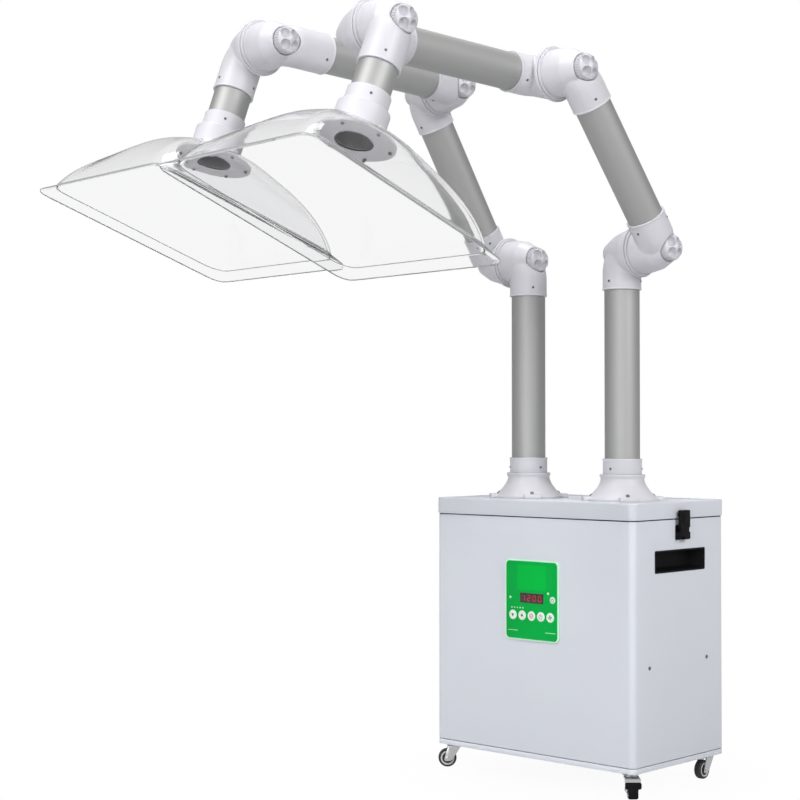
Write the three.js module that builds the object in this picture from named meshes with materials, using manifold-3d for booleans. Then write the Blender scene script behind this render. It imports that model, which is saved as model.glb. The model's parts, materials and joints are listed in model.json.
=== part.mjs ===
// A mobile fume extractor: a filter cabinet on castors with two jointed suction arms and clear hoods.
// Millimetres, +Z up. The origin is the middle of the base pan's underside, and the front faces -Y.
import * as THREE from 'three';
import { mergeVertices } from 'three/addons/utils/BufferGeometryUtils.js';
import Module from 'manifold-3d';

const wasm = await Module();
wasm.setup();

// Fits
const CLEARANCE = 0.3;
const CUT_MARGIN = 1;
const JOIN_OVERLAP = 0.5;

// Flat sides of round pieces
const ROUND_SIDES = 12;
const SCROLL_SIDES = 24;
const PIN_SIDES = 8;

// Cabinet
const CABINET_HEIGHT = 540;
const LID_WIDTH = 532;
const LID_DEPTH = 336;
const LID_HEIGHT = 32;
const LID_OVERHANG = 2;
const LID_REVEAL = 3;
const LID_SEAT_WIDTH = 8;
const CORNER_RADIUS = 16;
const SHEET = 2;
const BASE_HEIGHT = 12;
const BASE_GROOVE_WIDTH = 8;
const BASE_GROOVE_DEPTH = 1;
const BASE_FIELD_MARGIN = 30;
const BASE_FIELD_GAP = 14;
const TOP_FLANGE = 16;

// Control panel on the front: it hangs below the lid's edge, and the keys are placed from its middle
const PANEL_WIDTH = 142;
const PANEL_HEIGHT = 169;
const PANEL_THICKNESS = 4;
const PANEL_X = 7;
const PANEL_DROP = 91.5;
const PANEL_CORNER = 8;
const KEY_RADIUS = 10;
const KEY_SPACING = 25;
const KEY_COUNT = 5;
const KEY_ROW_DROP = 32.5;
const POWER_KEY_RADIUS = 7;
const POWER_KEY_ASIDE = 56;
const POWER_KEY_RISE = 4;
const KEY_THICKNESS = 3.2;
const KEY_PROUD = 1;
const KEY_WELL = 3;

// Side handles and latches, which also hang below the lid's edge, and the rear panel
const HANDLE_WIDTH = 182;
const HANDLE_HEIGHT = 45;
const HANDLE_DEPTH = 30;
const HANDLE_LIP = 4;
const HANDLE_LIP_THICKNESS = 2;
const HANDLE_WALL = 2;
const HANDLE_DROP = 87.5;
const LATCH_WIDTH = 36;
const LATCH_THICKNESS = 6;
const LATCH_DROP = 44;
const LATCH_PIVOT_RISE = 8;
const LATCH_PIN_RADIUS = 2.5;
const LATCH_EAR = 4;
const LATCH_EAR_HEIGHT = 16;
const LATCH_STANDOFF = 8;
const LATCH_HOOK = 3.5;
const LATCH_HOOK_HEIGHT = 3;
const KEEPER_WIDTH = 24;
const KEEPER_DEPTH = 5;
const KEEPER_HEIGHT = 6;
const KEEPER_RISE = 4;
const KEEPER_GAP = 3.5;
const REAR_PANEL_HEIGHT = 150;
const REAR_PANEL_MARGIN = 20;
const SLOT_COUNT = 7;
const SLOT_HEIGHT = 6;
const SLOT_PITCH = 14;
const INLET_WIDTH = 50;
const INLET_HEIGHT = 30;
const INLET_DEPTH = 22;
const INLET_X = -110;
const INLET_WALL = 3;

// Fan and filter inside
const FAN_FRONT_GAP = 24;
const FAN_RADIUS = 120;
const FAN_BOTTOM = 62;
const FAN_HEIGHT = 118;
const FAN_WALL = 2;
const FAN_INLET_RADIUS = 66;
const FAN_OUTLET_X = 20;
const SHELF_GAP = 20;
const MOTOR_RADIUS = 55;
const SHAFT_RADIUS = 5;
const IMPELLER_RADIUS = 92;
const IMPELLER_DISC = 4;
const IMPELLER_HUB = 18;
const IMPELLER_HEIGHT = 80;
const IMPELLER_RISE = 12;
const BLADE_COUNT = 6;
const BLADE_THICKNESS = 4;
const BLADE_HEIGHT = 60;
const BLADE_SWEEP = 0.6;
const FILTER_GAP = 12;
const FILTER_WALL = 5;
const PLEAT_COUNT = 9;
const PLEAT_THICKNESS = 5;
const PLEAT_INSET = 12;

// Castors
const CASTOR_INSET_X = 28;
const CASTOR_INSET_Y = 28;
const CASTOR_TRAIL = 16;
const WHEEL_RADIUS = 20;
const WHEEL_WIDTH = 16;
const TYRE_SHOULDER = 4;
const AXLE_RADIUS = 3;
const FORK_PLATE_RADIUS = 17;
const FORK_PLATE_THICKNESS = 5;
const FORK_CHEEK = 2.5;
const FORK_GAP = 1;
const FORK_NECK_INSET = 10;
const FORK_CROWN_GAP = 6.7;
const CASTOR_YAWS = [43, 133, 90, -43];

// Arms: tube lengths run from joint axis to joint axis
const POST_OFFSET = -9;
const ARM_YAW = -6.5;
const TUBE_RADIUS = 37.5;
const TUBE_WALL = 1.5;
const POST_AXIS_HEIGHT = 529;
const LINK_LENGTH = 425;
const FORE_LENGTH = 475;
const LINK_TILT = { right: 36.8, left: 31.3 };
const FORE_TILT = { right: 87.5, left: 87.1 };
const HOOD_TILT = { right: 157.4, left: 160.2 };

// Bell flange and collar at the foot of each post
const FLANGE_RADIUS = 86;
const FLANGE_FOOT = 5;
const FLANGE_NECK_WALL = 7.2;
const FLANGE_RIM_PROUD = 2;
const FLANGE_RIM_HEIGHT = 8;
const FLANGE_HEIGHT = 56;
const BELL_FOOT_SHARE = 0.2;
const BELL_NECK_SHARE = 0.7;
const COLLAR_HEIGHT = 33;
const COLLAR_WALL = 3.7;
const COLLAR_SPIGOT = 20;
const SPIGOT_WALL = 2.8;
const TUBE_ENTRY = 26;

// Elbow halves
const ELBOW_WALL = 3.2;
const ELBOW_LEAD = 12;
const BEND_CLEAR = 1;
const DRUM_PROUD = 10;
const DRUM_LENGTH = 22;
const DRUM_WALL = 4;
const DRUM_END = 5;
const JOINT_RING_PROUD = 3;
const JOINT_RING_WIDTH = 5;
const SOCKET_REACH = 80;
const FORE_TIP_REACH = 115;
const HOOD_REACH = 96;
const SOCKET_DEPTH = 30;

// Clamping knobs
const KNOB_RADIUS = 29;
const KNOB_BACK = 24;
const KNOB_DEPTH = 18;
const KNOB_LOBES = 4;
const KNOB_LOBE_WIDTH = 9;
const KNOB_GROOVE = 6;
const KNOB_GAP = 1;
const BOSS_WALL = 3;
const BOSS_BACK = 13;
const BOSS_FACE = 36;
const NOSE_OVERLAP = 3;
const NUT_BOSS_RADIUS = 21;
const STUD_RADIUS = 4;
const STUD_SEAT = 6;

// Hoods: the posts stand so far apart that the hoods hang side by side
const HOOD_GAP = 20;
const HOOD_WIDTH = 450;
const HOOD_DEPTH = 470;
const HOOD_CORNER = 28;
const HOOD_BRIM = 35;
const HOOD_WALL = 3;
const HOOD_HEIGHT = 151;
const HOOD_CROWN_RADIUS = 80;
const HOOD_FULLNESS = 0.65;
const HOOD_SIDES = 40;
const HOOD_STEPS = [0.35, 0.62, 0.82, 0.95];
const HOOD_TUBE_SHOWN = 54;
const HOOD_COLLAR_HEIGHT = 32;
const HOOD_RING_PROUD = 8.5;
const HOOD_RING_HEIGHT = 38;
const HOOD_CONE = 14;
const HOOD_PLATE_RADIUS = 78;
const HOOD_PLATE_HEIGHT = 8;

// A flat-sided hole in which a flat-sided pin of the same count can turn freely
const turningHole = (pinRadius, sides) => (pinRadius + CLEARANCE) / Math.cos(Math.PI / sides);

// Sizes that follow: cabinet
const bodyWidth = LID_WIDTH - 2 * LID_OVERHANG;
const bodyDepth = LID_DEPTH - 2 * LID_OVERHANG;
const bodyCorner = CORNER_RADIUS - LID_OVERHANG;
const bodyBottom = BASE_HEIGHT + CLEARANCE;
const lidBottom = CABINET_HEIGHT - LID_HEIGHT;
const bodyTop = lidBottom - LID_REVEAL;
const panelZ = lidBottom - PANEL_DROP - PANEL_HEIGHT / 2;
const handleZ = lidBottom - HANDLE_DROP;
const latchBottom = lidBottom - LATCH_DROP;
const latchPivotZ = latchBottom + LATCH_PIVOT_RISE;
const fanY = FAN_FRONT_GAP + FAN_RADIUS + SHEET - bodyDepth / 2;
const fanTop = FAN_BOTTOM + FAN_HEIGHT;
const shelfHeight = fanTop + SHELF_GAP;
const rearPanelZ = FAN_BOTTOM + FAN_HEIGHT / 2;
const filterWidth = bodyWidth - 2 * (SHEET + FILTER_GAP);
const filterDepth = bodyDepth - 2 * (SHEET + FILTER_GAP);
const filterBottom = shelfHeight + CLEARANCE;
const filterTop = handleZ - HANDLE_HEIGHT / 2 - FILTER_GAP;
const castorHeight = CLEARANCE + FORK_PLATE_THICKNESS + FORK_CROWN_GAP + 2 * WHEEL_RADIUS;

// Sizes that follow: arms
const boreRadius = TUBE_RADIUS + CLEARANCE;
const ductRadius = TUBE_RADIUS - TUBE_WALL;
const collarRadius = boreRadius + COLLAR_WALL;
const spigotRadius = ductRadius + SPIGOT_WALL;
const flangeNeck = spigotRadius + FLANGE_NECK_WALL;
const elbowRadius = boreRadius + ELBOW_WALL;
const bendRadius = elbowRadius + BEND_CLEAR;
const elbowOffset = bendRadius + ELBOW_LEAD;
const drumRadius = elbowRadius + DRUM_PROUD;
const hoodRingRadius = collarRadius + HOOD_RING_PROUD;
const hoodCollarTop = HOOD_REACH + HOOD_TUBE_SHOWN;
const hoodCollarEnd = hoodCollarTop + HOOD_COLLAR_HEIGHT;
const hoodCrownDrop = hoodCollarEnd + HOOD_RING_HEIGHT + HOOD_CONE + HOOD_PLATE_HEIGHT;
const hoodRimDrop = hoodCrownDrop + HOOD_HEIGHT;
const armYaw = THREE.MathUtils.degToRad(ARM_YAW);
const postSpacing = (HOOD_WIDTH + HOOD_GAP - 4 * elbowOffset) / Math.cos(armYaw);
const postPlaces = [POST_OFFSET - postSpacing / 2, POST_OFFSET + postSpacing / 2];

const material = (color, roughness, metalness, opacity = 1) => new THREE.MeshStandardMaterial({
  color, roughness, metalness, opacity, transparent: opacity < 1,
});
const cabinetPaint = material(0xd5d8de, 0.5, 0.1);
const whitePlastic = material(0xeceaf2, 0.45, 0);
const aluminium = material(0xa9aca8, 0.35, 0.9);
const clearAcrylic = material(0xf4f8f8, 0.05, 0, 0.3);
const blackPlastic = material(0x17171a, 0.5, 0);
const panelGreen = material(0x12a845, 0.35, 0);
const keyWhite = material(0xf0f4ee, 0.4, 0);
const zincSteel = material(0xb4b6b8, 0.4, 0.9);
const wheelRubber = material(0x2a2a2c, 0.8, 0);
const darkSteel = material(0x55585c, 0.5, 0.7);
const filterFleece = material(0xe4e2d8, 0.9, 0);

// Solids: a closed three.js geometry becomes a solid that can be joined and cut
function solid(geometry) {
  const bare = geometry.index ? geometry.toNonIndexed() : geometry.clone();
  bare.deleteAttribute('normal');
  bare.deleteAttribute('uv');
  const merged = mergeVertices(bare, 1e-4);
  const vertProperties = new Float32Array(merged.attributes.position.array);
  const triVerts = new Uint32Array(merged.index.array);
  return new wasm.Manifold(new wasm.Mesh({ numProp: 3, vertProperties, triVerts }));
}

function geometryOf(body) {
  const mesh = body.getMesh();
  const geometry = new THREE.BufferGeometry();
  geometry.setAttribute('position', new THREE.BufferAttribute(new Float32Array(mesh.vertProperties), 3));
  geometry.setIndex(new THREE.BufferAttribute(new Uint32Array(mesh.triVerts), 1));
  return geometry;
}

const join = (first, ...others) => others.reduce((sum, other) => sum.add(other), first);
const cut = (first, ...others) => others.reduce((rest, other) => rest.subtract(other), first);
const shared = (first, second) => first.intersect(second);

const sorted = (first, second) => [Math.min(first, second), Math.max(first, second)];

// A box given by its lowest and highest corners
function block(low, high) {
  const size = high.map((value, i) => value - low[i]);
  const middle = high.map((value, i) => (value + low[i]) / 2);
  return solid(new THREE.BoxGeometry(...size).translate(...middle));
}

// A round bar along one axis, from one end to the other
function bar(axis, radius, from, to, middle = [0, 0, 0], sides = ROUND_SIDES) {
  const geometry = new THREE.CylinderGeometry(radius, radius, to - from, sides);
  geometry.translate(0, (from + to) / 2, 0);
  if (axis === 'x') geometry.rotateZ(-Math.PI / 2);
  if (axis === 'z') geometry.rotateX(Math.PI / 2);
  return solid(geometry.translate(...middle));
}

// A turned piece: a closed outline of [radius, height] points, listed anticlockwise, round +Z
function turned(outline, sides = ROUND_SIDES) {
  const points = [...outline, outline[0]].map(([radius, height]) => new THREE.Vector2(radius, height));
  return new THREE.LatheGeometry(points, sides).rotateX(Math.PI / 2);
}

// A flat plate with rounded corners, standing on z
function plate(width, depth, corner, bottom, top) {
  const shape = new THREE.Shape();
  const x = width / 2;
  const y = depth / 2;
  shape.moveTo(corner - x, -y);
  shape.lineTo(x - corner, -y);
  shape.absarc(x - corner, corner - y, corner, -Math.PI / 2, 0);
  shape.absarc(x - corner, y - corner, corner, 0, Math.PI / 2);
  shape.absarc(corner - x, y - corner, corner, Math.PI / 2, Math.PI);
  shape.absarc(corner - x, corner - y, corner, Math.PI, Math.PI * 1.5);
  const settings = { depth: top - bottom, bevelEnabled: false, curveSegments: 4 };
  return solid(new THREE.ExtrudeGeometry(shape, settings).translate(0, 0, bottom));
}

const object = new THREE.Group();

function addPiece(name, body, finish, parent = object) {
  const geometry = body.isBufferGeometry ? body : geometryOf(body);
  const mesh = new THREE.Mesh(geometry, finish);
  mesh.name = name;
  parent.add(mesh);
  return mesh;
}

// Base pan: a shallow folded tray that carries the castors
// A pressed groove stiffens its floor and rings the flat middle field between the castors
function basePan() {
  const outer = plate(bodyWidth, bodyDepth, bodyCorner, 0, BASE_HEIGHT);
  const inner = plate(bodyWidth - 2 * SHEET, bodyDepth - 2 * SHEET, bodyCorner - SHEET, SHEET,
    BASE_HEIGHT + CUT_MARGIN);
  const castorSwing = CASTOR_TRAIL + WHEEL_RADIUS;
  const width = bodyWidth - 2 * (CASTOR_INSET_X + castorSwing + BASE_FIELD_GAP);
  const depth = bodyDepth - 2 * BASE_FIELD_MARGIN;
  const field = plate(width, depth, bodyCorner, -CUT_MARGIN, BASE_GROOVE_DEPTH + CUT_MARGIN);
  const pressed = plate(width + 2 * BASE_GROOVE_WIDTH, depth + 2 * BASE_GROOVE_WIDTH,
    bodyCorner + BASE_GROOVE_WIDTH, -CUT_MARGIN, BASE_GROOVE_DEPTH);
  return cut(cut(outer, inner), cut(pressed, field));
}

// Cabinet body: a folded sheet wrap with a top flange and a shelf between filter and fan
function latchEars(side) {
  const wall = side * bodyWidth / 2;
  const reach = side * (LATCH_STANDOFF + LATCH_THICKNESS);
  const top = latchBottom + LATCH_EAR_HEIGHT;
  const pin = turningHole(LATCH_PIN_RADIUS, PIN_SIDES);
  const pinX = side * (bodyWidth / 2 + LATCH_STANDOFF + LATCH_THICKNESS / 2);
  return [-1, 1].map((end) => {
    const inner = end * (LATCH_WIDTH / 2 + CLEARANCE);
    const outer = inner + end * LATCH_EAR;
    const xs = sorted(wall - side * JOIN_OVERLAP, wall + reach);
    const ys = sorted(inner, outer);
    const ear = block([xs[0], ys[0], latchBottom], [xs[1], ys[1], top]);
    return cut(ear, bar('y', pin, ys[0] - CUT_MARGIN, ys[1] + CUT_MARGIN, [pinX, 0, latchPivotZ],
      PIN_SIDES));
  });
}

function handleOpening(side) {
  const x = side * bodyWidth / 2;
  const y = HANDLE_WIDTH / 2 + CLEARANCE;
  const z = HANDLE_HEIGHT / 2 + CLEARANCE;
  return block([x - 2 * SHEET, -y, handleZ - z], [x + 2 * SHEET, y, handleZ + z]);
}

function cabinetBody() {
  const outer = plate(bodyWidth, bodyDepth, bodyCorner, bodyBottom, bodyTop);
  const innerWidth = bodyWidth - 2 * SHEET;
  const innerDepth = bodyDepth - 2 * SHEET;
  const hollow = plate(innerWidth, innerDepth, bodyCorner - SHEET, bodyBottom - CUT_MARGIN,
    bodyTop - SHEET);
  const mouth = plate(bodyWidth - 2 * TOP_FLANGE, bodyDepth - 2 * TOP_FLANGE, bodyCorner - SHEET,
    bodyTop - 2 * SHEET, bodyTop + CUT_MARGIN);
  const shelf = plate(innerWidth + JOIN_OVERLAP, innerDepth + JOIN_OVERLAP, bodyCorner - SHEET,
    shelfHeight - SHEET, shelfHeight);
  const shelfHole = bar('z', FAN_INLET_RADIUS, shelfHeight - 2 * SHEET, shelfHeight + CUT_MARGIN,
    [0, fanY, 0]);
  const half = SLOT_COUNT * SLOT_PITCH / 2;
  const exhaust = block([FAN_OUTLET_X, bodyDepth / 2 - 2 * SHEET, rearPanelZ - half],
    [FAN_RADIUS, bodyDepth / 2 + SHEET, rearPanelZ + half]);
  const inletX = INLET_WIDTH / 2 + CLEARANCE;
  const inletZ = INLET_HEIGHT / 2 + CLEARANCE;
  const inletHole = block([INLET_X - inletX, bodyDepth / 2 - 2 * SHEET, rearPanelZ - inletZ],
    [INLET_X + inletX, bodyDepth / 2 + SHEET, rearPanelZ + inletZ]);
  const shell = cut(join(cut(outer, hollow, mouth), shelf), shelfHole, exhaust, inletHole);
  return join(cut(shell, handleOpening(-1), handleOpening(1)), ...latchEars(-1), ...latchEars(1));
}

// Lid: a deep folded tray turned over, with a seat that rests on the body and a keeper on each side
function lidTray() {
  const outer = plate(LID_WIDTH, LID_DEPTH, CORNER_RADIUS, lidBottom, CABINET_HEIGHT);
  const hollow = plate(LID_WIDTH - 2 * SHEET, LID_DEPTH - 2 * SHEET, CORNER_RADIUS - SHEET,
    lidBottom - CUT_MARGIN, CABINET_HEIGHT - SHEET);
  const seatBottom = bodyTop + CLEARANCE;
  const seatTop = CABINET_HEIGHT - SHEET + JOIN_OVERLAP;
  const seatInset = 2 * (LID_OVERHANG + SHEET);
  const inset = seatInset + 2 * SHEET;
  const seatOuter = plate(LID_WIDTH - seatInset, LID_DEPTH - seatInset, CORNER_RADIUS - SHEET,
    seatBottom, seatTop);
  const seatInner = plate(LID_WIDTH - inset, LID_DEPTH - inset, CORNER_RADIUS - 2 * SHEET,
    seatBottom - CUT_MARGIN, seatTop + CUT_MARGIN);
  const footOuter = plate(LID_WIDTH - seatInset, LID_DEPTH - seatInset, CORNER_RADIUS - SHEET, seatBottom,
    seatBottom + SHEET);
  const footInner = plate(LID_WIDTH - inset - LID_SEAT_WIDTH, LID_DEPTH - inset - LID_SEAT_WIDTH,
    CORNER_RADIUS - 2 * SHEET, seatBottom - CUT_MARGIN, seatBottom + SHEET + CUT_MARGIN);
  const keepers = [-1, 1].map((side) => {
    const xs = sorted(side * (LID_WIDTH / 2 - JOIN_OVERLAP), side * (LID_WIDTH / 2 + KEEPER_DEPTH));
    const low = lidBottom + KEEPER_RISE;
    return block([xs[0], -KEEPER_WIDTH / 2, low], [xs[1], KEEPER_WIDTH / 2, low + KEEPER_HEIGHT]);
  });
  const ducts = postPlaces.map((x) => bar('z', ductRadius, CABINET_HEIGHT - 2 * SHEET,
    CABINET_HEIGHT + CUT_MARGIN, [x, 0, 0]));
  return join(cut(outer, hollow, ...ducts), cut(seatOuter, seatInner), cut(footOuter, footInner), ...keepers);
}

// Control panel with a well for each key
const panelBack = -bodyDepth / 2 - CLEARANCE;
const panelFace = panelBack - PANEL_THICKNESS;
const keyPlaces = [];
for (let i = 0; i < KEY_COUNT; i += 1) {
  const x = PANEL_X + (i - (KEY_COUNT - 1) / 2) * KEY_SPACING;
  keyPlaces.push({ name: `function_key_${i + 1}`, x, z: panelZ - KEY_ROW_DROP, radius: KEY_RADIUS });
}
const powerKeyPlace = { x: PANEL_X + POWER_KEY_ASIDE, z: panelZ + POWER_KEY_RISE };
keyPlaces.push({ name: 'power_key', ...powerKeyPlace, radius: POWER_KEY_RADIUS });

function controlPanel() {
  const shape = plate(PANEL_WIDTH, PANEL_HEIGHT, PANEL_CORNER, 0, PANEL_THICKNESS);
  const upright = shape.rotate([90, 0, 0]).translate([PANEL_X, panelBack, panelZ]);
  const wells = keyPlaces.map(({ x, z, radius }) => bar('y', radius + CLEARANCE, panelFace - CUT_MARGIN,
    panelFace + KEY_WELL, [x, 0, z]));
  return cut(upright, ...wells);
}

const keyCap = ({ x, z, radius }) => bar('y', radius, panelFace - KEY_PROUD,
  panelFace - KEY_PROUD + KEY_THICKNESS, [x, 0, z]);

// Recessed carrying handle: a lipped cup let into the side
function sideHandle(side) {
  const wall = side * (bodyWidth / 2 + CLEARANCE);
  const lipFace = wall + side * HANDLE_LIP_THICKNESS;
  const back = side * (bodyWidth / 2 - HANDLE_DEPTH);
  const slab = (a, b, y, z) => {
    const [low, high] = sorted(a, b);
    return block([low, -y, handleZ - z], [high, y, handleZ + z]);
  };
  const y = HANDLE_WIDTH / 2;
  const z = HANDLE_HEIGHT / 2;
  const lip = slab(wall, lipFace, y + HANDLE_LIP, z + HANDLE_LIP);
  const cup = slab(back, wall + side * JOIN_OVERLAP, y, z);
  const hollow = slab(back + side * HANDLE_WALL, lipFace + side * CUT_MARGIN, y - HANDLE_WALL,
    z - HANDLE_WALL);
  return cut(join(lip, cup), hollow);
}

// Draw latch lever: it turns on trunnions in the ears and hooks over the lid's keeper
function latchLever(side) {
  const inner = bodyWidth / 2 + LATCH_STANDOFF;
  const outer = inner + LATCH_THICKNESS;
  const hookBottom = lidBottom + KEEPER_RISE + KEEPER_HEIGHT + KEEPER_GAP;
  const top = hookBottom + LATCH_HOOK_HEIGHT;
  const y = LATCH_WIDTH / 2;
  const slab = (a, b, low, high) => {
    const xs = sorted(side * a, side * b);
    return block([xs[0], -y, low], [xs[1], y, high]);
  };
  const lever = slab(inner, outer, latchBottom, top);
  const hook = slab(inner - LATCH_HOOK, inner + JOIN_OVERLAP, hookBottom, top);
  const reach = y + CLEARANCE + LATCH_EAR;
  const pinX = side * (inner + LATCH_THICKNESS / 2);
  return join(lever, hook, bar('y', LATCH_PIN_RADIUS, -reach, reach, [pinX, 0, latchPivotZ], PIN_SIDES));
}

// Rear panel: exhaust slots over the fan outlet and the housing of the power inlet
function rearPanel() {
  const front = bodyDepth / 2 + CLEARANCE;
  const back = front + SHEET;
  const left = INLET_X - INLET_WIDTH / 2 - REAR_PANEL_MARGIN;
  const low = [left, front, rearPanelZ - REAR_PANEL_HEIGHT / 2];
  const high = [FAN_RADIUS + REAR_PANEL_MARGIN, back, rearPanelZ + REAR_PANEL_HEIGHT / 2];
  const slots = [];
  for (let i = 0; i < SLOT_COUNT; i += 1) {
    const z = rearPanelZ + (i - (SLOT_COUNT - 1) / 2) * SLOT_PITCH;
    slots.push(block([FAN_OUTLET_X + SHEET, front - CUT_MARGIN, z - SLOT_HEIGHT / 2],
      [FAN_RADIUS - SHEET, back + CUT_MARGIN, z + SLOT_HEIGHT / 2]));
  }
  const inletBlock = (wall, end) => {
    const x = INLET_WIDTH / 2 - wall;
    const z = INLET_HEIGHT / 2 - wall;
    return block([INLET_X - x, front - INLET_DEPTH + wall, rearPanelZ - z],
      [INLET_X + x, end, rearPanelZ + z]);
  };
  const housing = inletBlock(0, back);
  const socket = inletBlock(INLET_WALL, back + CUT_MARGIN);
  return cut(join(block(low, high), housing), socket, ...slots);
}

// Fan scroll on its motor, with the motor shaft standing in it
function fanHousing() {
  const rear = bodyDepth / 2 - SHEET - CLEARANCE;
  const middle = [0, fanY, 0];
  const scroll = bar('z', FAN_RADIUS, FAN_BOTTOM, fanTop, middle, SCROLL_SIDES);
  const outlet = block([FAN_OUTLET_X, fanY, FAN_BOTTOM], [FAN_RADIUS, rear, fanTop]);
  const room = bar('z', FAN_RADIUS - FAN_WALL, FAN_BOTTOM + FAN_WALL, fanTop - FAN_WALL, middle,
    SCROLL_SIDES);
  const throat = block([FAN_OUTLET_X + FAN_WALL, fanY, FAN_BOTTOM + FAN_WALL],
    [FAN_RADIUS - FAN_WALL, rear + CUT_MARGIN, fanTop - FAN_WALL]);
  const eye = bar('z', FAN_INLET_RADIUS, fanTop - 2 * FAN_WALL, fanTop + CUT_MARGIN, middle);
  const motor = bar('z', MOTOR_RADIUS, SHEET + CLEARANCE, FAN_BOTTOM + JOIN_OVERLAP, middle);
  const shaftTop = FAN_BOTTOM + IMPELLER_RISE + IMPELLER_HEIGHT;
  const shaft = bar('z', SHAFT_RADIUS, FAN_BOTTOM, shaftTop, middle, PIN_SIDES);
  return join(cut(join(scroll, outlet), room, throat, eye), motor, shaft);
}

function fanImpeller() {
  const bottom = FAN_BOTTOM + IMPELLER_RISE;
  const disc = bar('z', IMPELLER_RADIUS, bottom, bottom + IMPELLER_DISC);
  const hub = bar('z', IMPELLER_HUB, bottom, bottom + IMPELLER_HEIGHT);
  const blades = [];
  for (let i = 0; i < BLADE_COUNT; i += 1) {
    const length = IMPELLER_RADIUS - IMPELLER_HUB;
    const blade = new THREE.BoxGeometry(length, BLADE_THICKNESS, BLADE_HEIGHT);
    blade.rotateZ(-BLADE_SWEEP);
    const middle = (IMPELLER_RADIUS + IMPELLER_HUB) / 2 - IMPELLER_DISC;
    blade.translate(middle, 0, bottom + BLADE_HEIGHT / 2 + JOIN_OVERLAP);
    blade.rotateZ(i * 2 * Math.PI / BLADE_COUNT);
    blades.push(solid(blade));
  }
  const bore = bar('z', turningHole(SHAFT_RADIUS, PIN_SIDES), bottom - CUT_MARGIN,
    bottom + IMPELLER_HEIGHT + CUT_MARGIN, [0, 0, 0], PIN_SIDES);
  return cut(join(disc, hub, ...blades), bore).translate([0, fanY, 0]);
}

// Filter cartridge: an open frame filled with pleats
function filterCartridge() {
  const x = filterWidth / 2;
  const y = filterDepth / 2;
  const outer = block([-x, -y, filterBottom], [x, y, filterTop]);
  const inner = block([FILTER_WALL - x, FILTER_WALL - y, filterBottom - CUT_MARGIN],
    [x - FILTER_WALL, y - FILTER_WALL, filterTop + CUT_MARGIN]);
  const frame = cut(outer, inner);
  const pleats = [];
  for (let i = 1; i <= PLEAT_COUNT; i += 1) {
    const middle = -x + i * filterWidth / (PLEAT_COUNT + 1);
    const half = PLEAT_THICKNESS / 2;
    const reach = y - FILTER_WALL + JOIN_OVERLAP;
    pleats.push(block([middle - half, -reach, filterBottom + PLEAT_INSET],
      [middle + half, reach, filterTop - PLEAT_INSET]));
  }
  return join(frame, ...pleats);
}

// Castor: the fork swivels under the base pan, and the wheel trails behind the swivel
function castorFork() {
  const top = -CLEARANCE;
  const head = bar('z', FORK_PLATE_RADIUS, top - FORK_PLATE_THICKNESS, top);
  const axleZ = WHEEL_RADIUS - castorHeight;
  const inner = WHEEL_WIDTH / 2 + FORK_GAP;
  const outline = new THREE.Shape();
  const neck = top - FORK_PLATE_THICKNESS + JOIN_OVERLAP;
  outline.moveTo(FORK_PLATE_RADIUS - FORK_NECK_INSET, neck);
  outline.lineTo(FORK_NECK_INSET - FORK_PLATE_RADIUS, neck);
  outline.lineTo(-CASTOR_TRAIL - 2 * AXLE_RADIUS, axleZ);
  outline.lineTo(-CASTOR_TRAIL, axleZ - 2 * AXLE_RADIUS);
  outline.lineTo(2 * AXLE_RADIUS - CASTOR_TRAIL, axleZ);
  const cheeks = [-inner - FORK_CHEEK, inner].map((y) => {
    const cheek = new THREE.ExtrudeGeometry(outline, { depth: FORK_CHEEK, bevelEnabled: false });
    return solid(cheek.rotateX(Math.PI / 2).translate(0, y + FORK_CHEEK, 0));
  });
  const axleReach = inner + FORK_CHEEK / 2;
  const axle = bar('y', AXLE_RADIUS, -axleReach, axleReach, [-CASTOR_TRAIL, 0, axleZ], PIN_SIDES);
  return join(head, ...cheeks, axle);
}

function castorWheel() {
  const half = WHEEL_WIDTH / 2;
  const bore = turningHole(AXLE_RADIUS, PIN_SIDES);
  const side = WHEEL_RADIUS - TYRE_SHOULDER;
  const tread = half - TYRE_SHOULDER;
  const geometry = turned([[bore, -half], [side, -half], [WHEEL_RADIUS, -tread], [WHEEL_RADIUS, tread],
    [side, half], [bore, half]]);
  return geometry.rotateX(Math.PI / 2).translate(-CASTOR_TRAIL, 0, WHEEL_RADIUS - castorHeight);
}

// Bell flange bolted to the lid and the collar that turns in it
function baseFlange() {
  const bore = turningHole(spigotRadius, ROUND_SIDES);
  const rimBottom = FLANGE_HEIGHT - FLANGE_RIM_HEIGHT;
  const rim = flangeNeck + FLANGE_RIM_PROUD;
  const bellFoot = (FLANGE_RADIUS + flangeNeck) / 2;
  const rise = rimBottom - FLANGE_FOOT;
  return turned([[bore, CLEARANCE], [FLANGE_RADIUS, CLEARANCE], [FLANGE_RADIUS, FLANGE_FOOT],
    [bellFoot, FLANGE_FOOT + rise * BELL_FOOT_SHARE],
    [flangeNeck + JOIN_OVERLAP, FLANGE_FOOT + rise * BELL_NECK_SHARE],
    [flangeNeck, rimBottom], [rim, rimBottom], [rim, FLANGE_HEIGHT], [bore, FLANGE_HEIGHT]]);
}

function postCollar() {
  const seat = FLANGE_HEIGHT + CLEARANCE;
  const spigot = FLANGE_HEIGHT - COLLAR_SPIGOT;
  const step = seat + COLLAR_HEIGHT - TUBE_ENTRY;
  return turned([[ductRadius, spigot], [spigotRadius, spigot], [spigotRadius, seat],
    [collarRadius, seat], [collarRadius, seat + COLLAR_HEIGHT], [boreRadius, seat + COLLAR_HEIGHT],
    [boreRadius, step], [ductRadius, step]]);
}

// A plain aluminium tube between two heights
const tube = (from, to) => turned([[TUBE_RADIUS - TUBE_WALL, from], [TUBE_RADIUS, from], [TUBE_RADIUS, to],
  [TUBE_RADIUS - TUBE_WALL, to]]);

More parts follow.
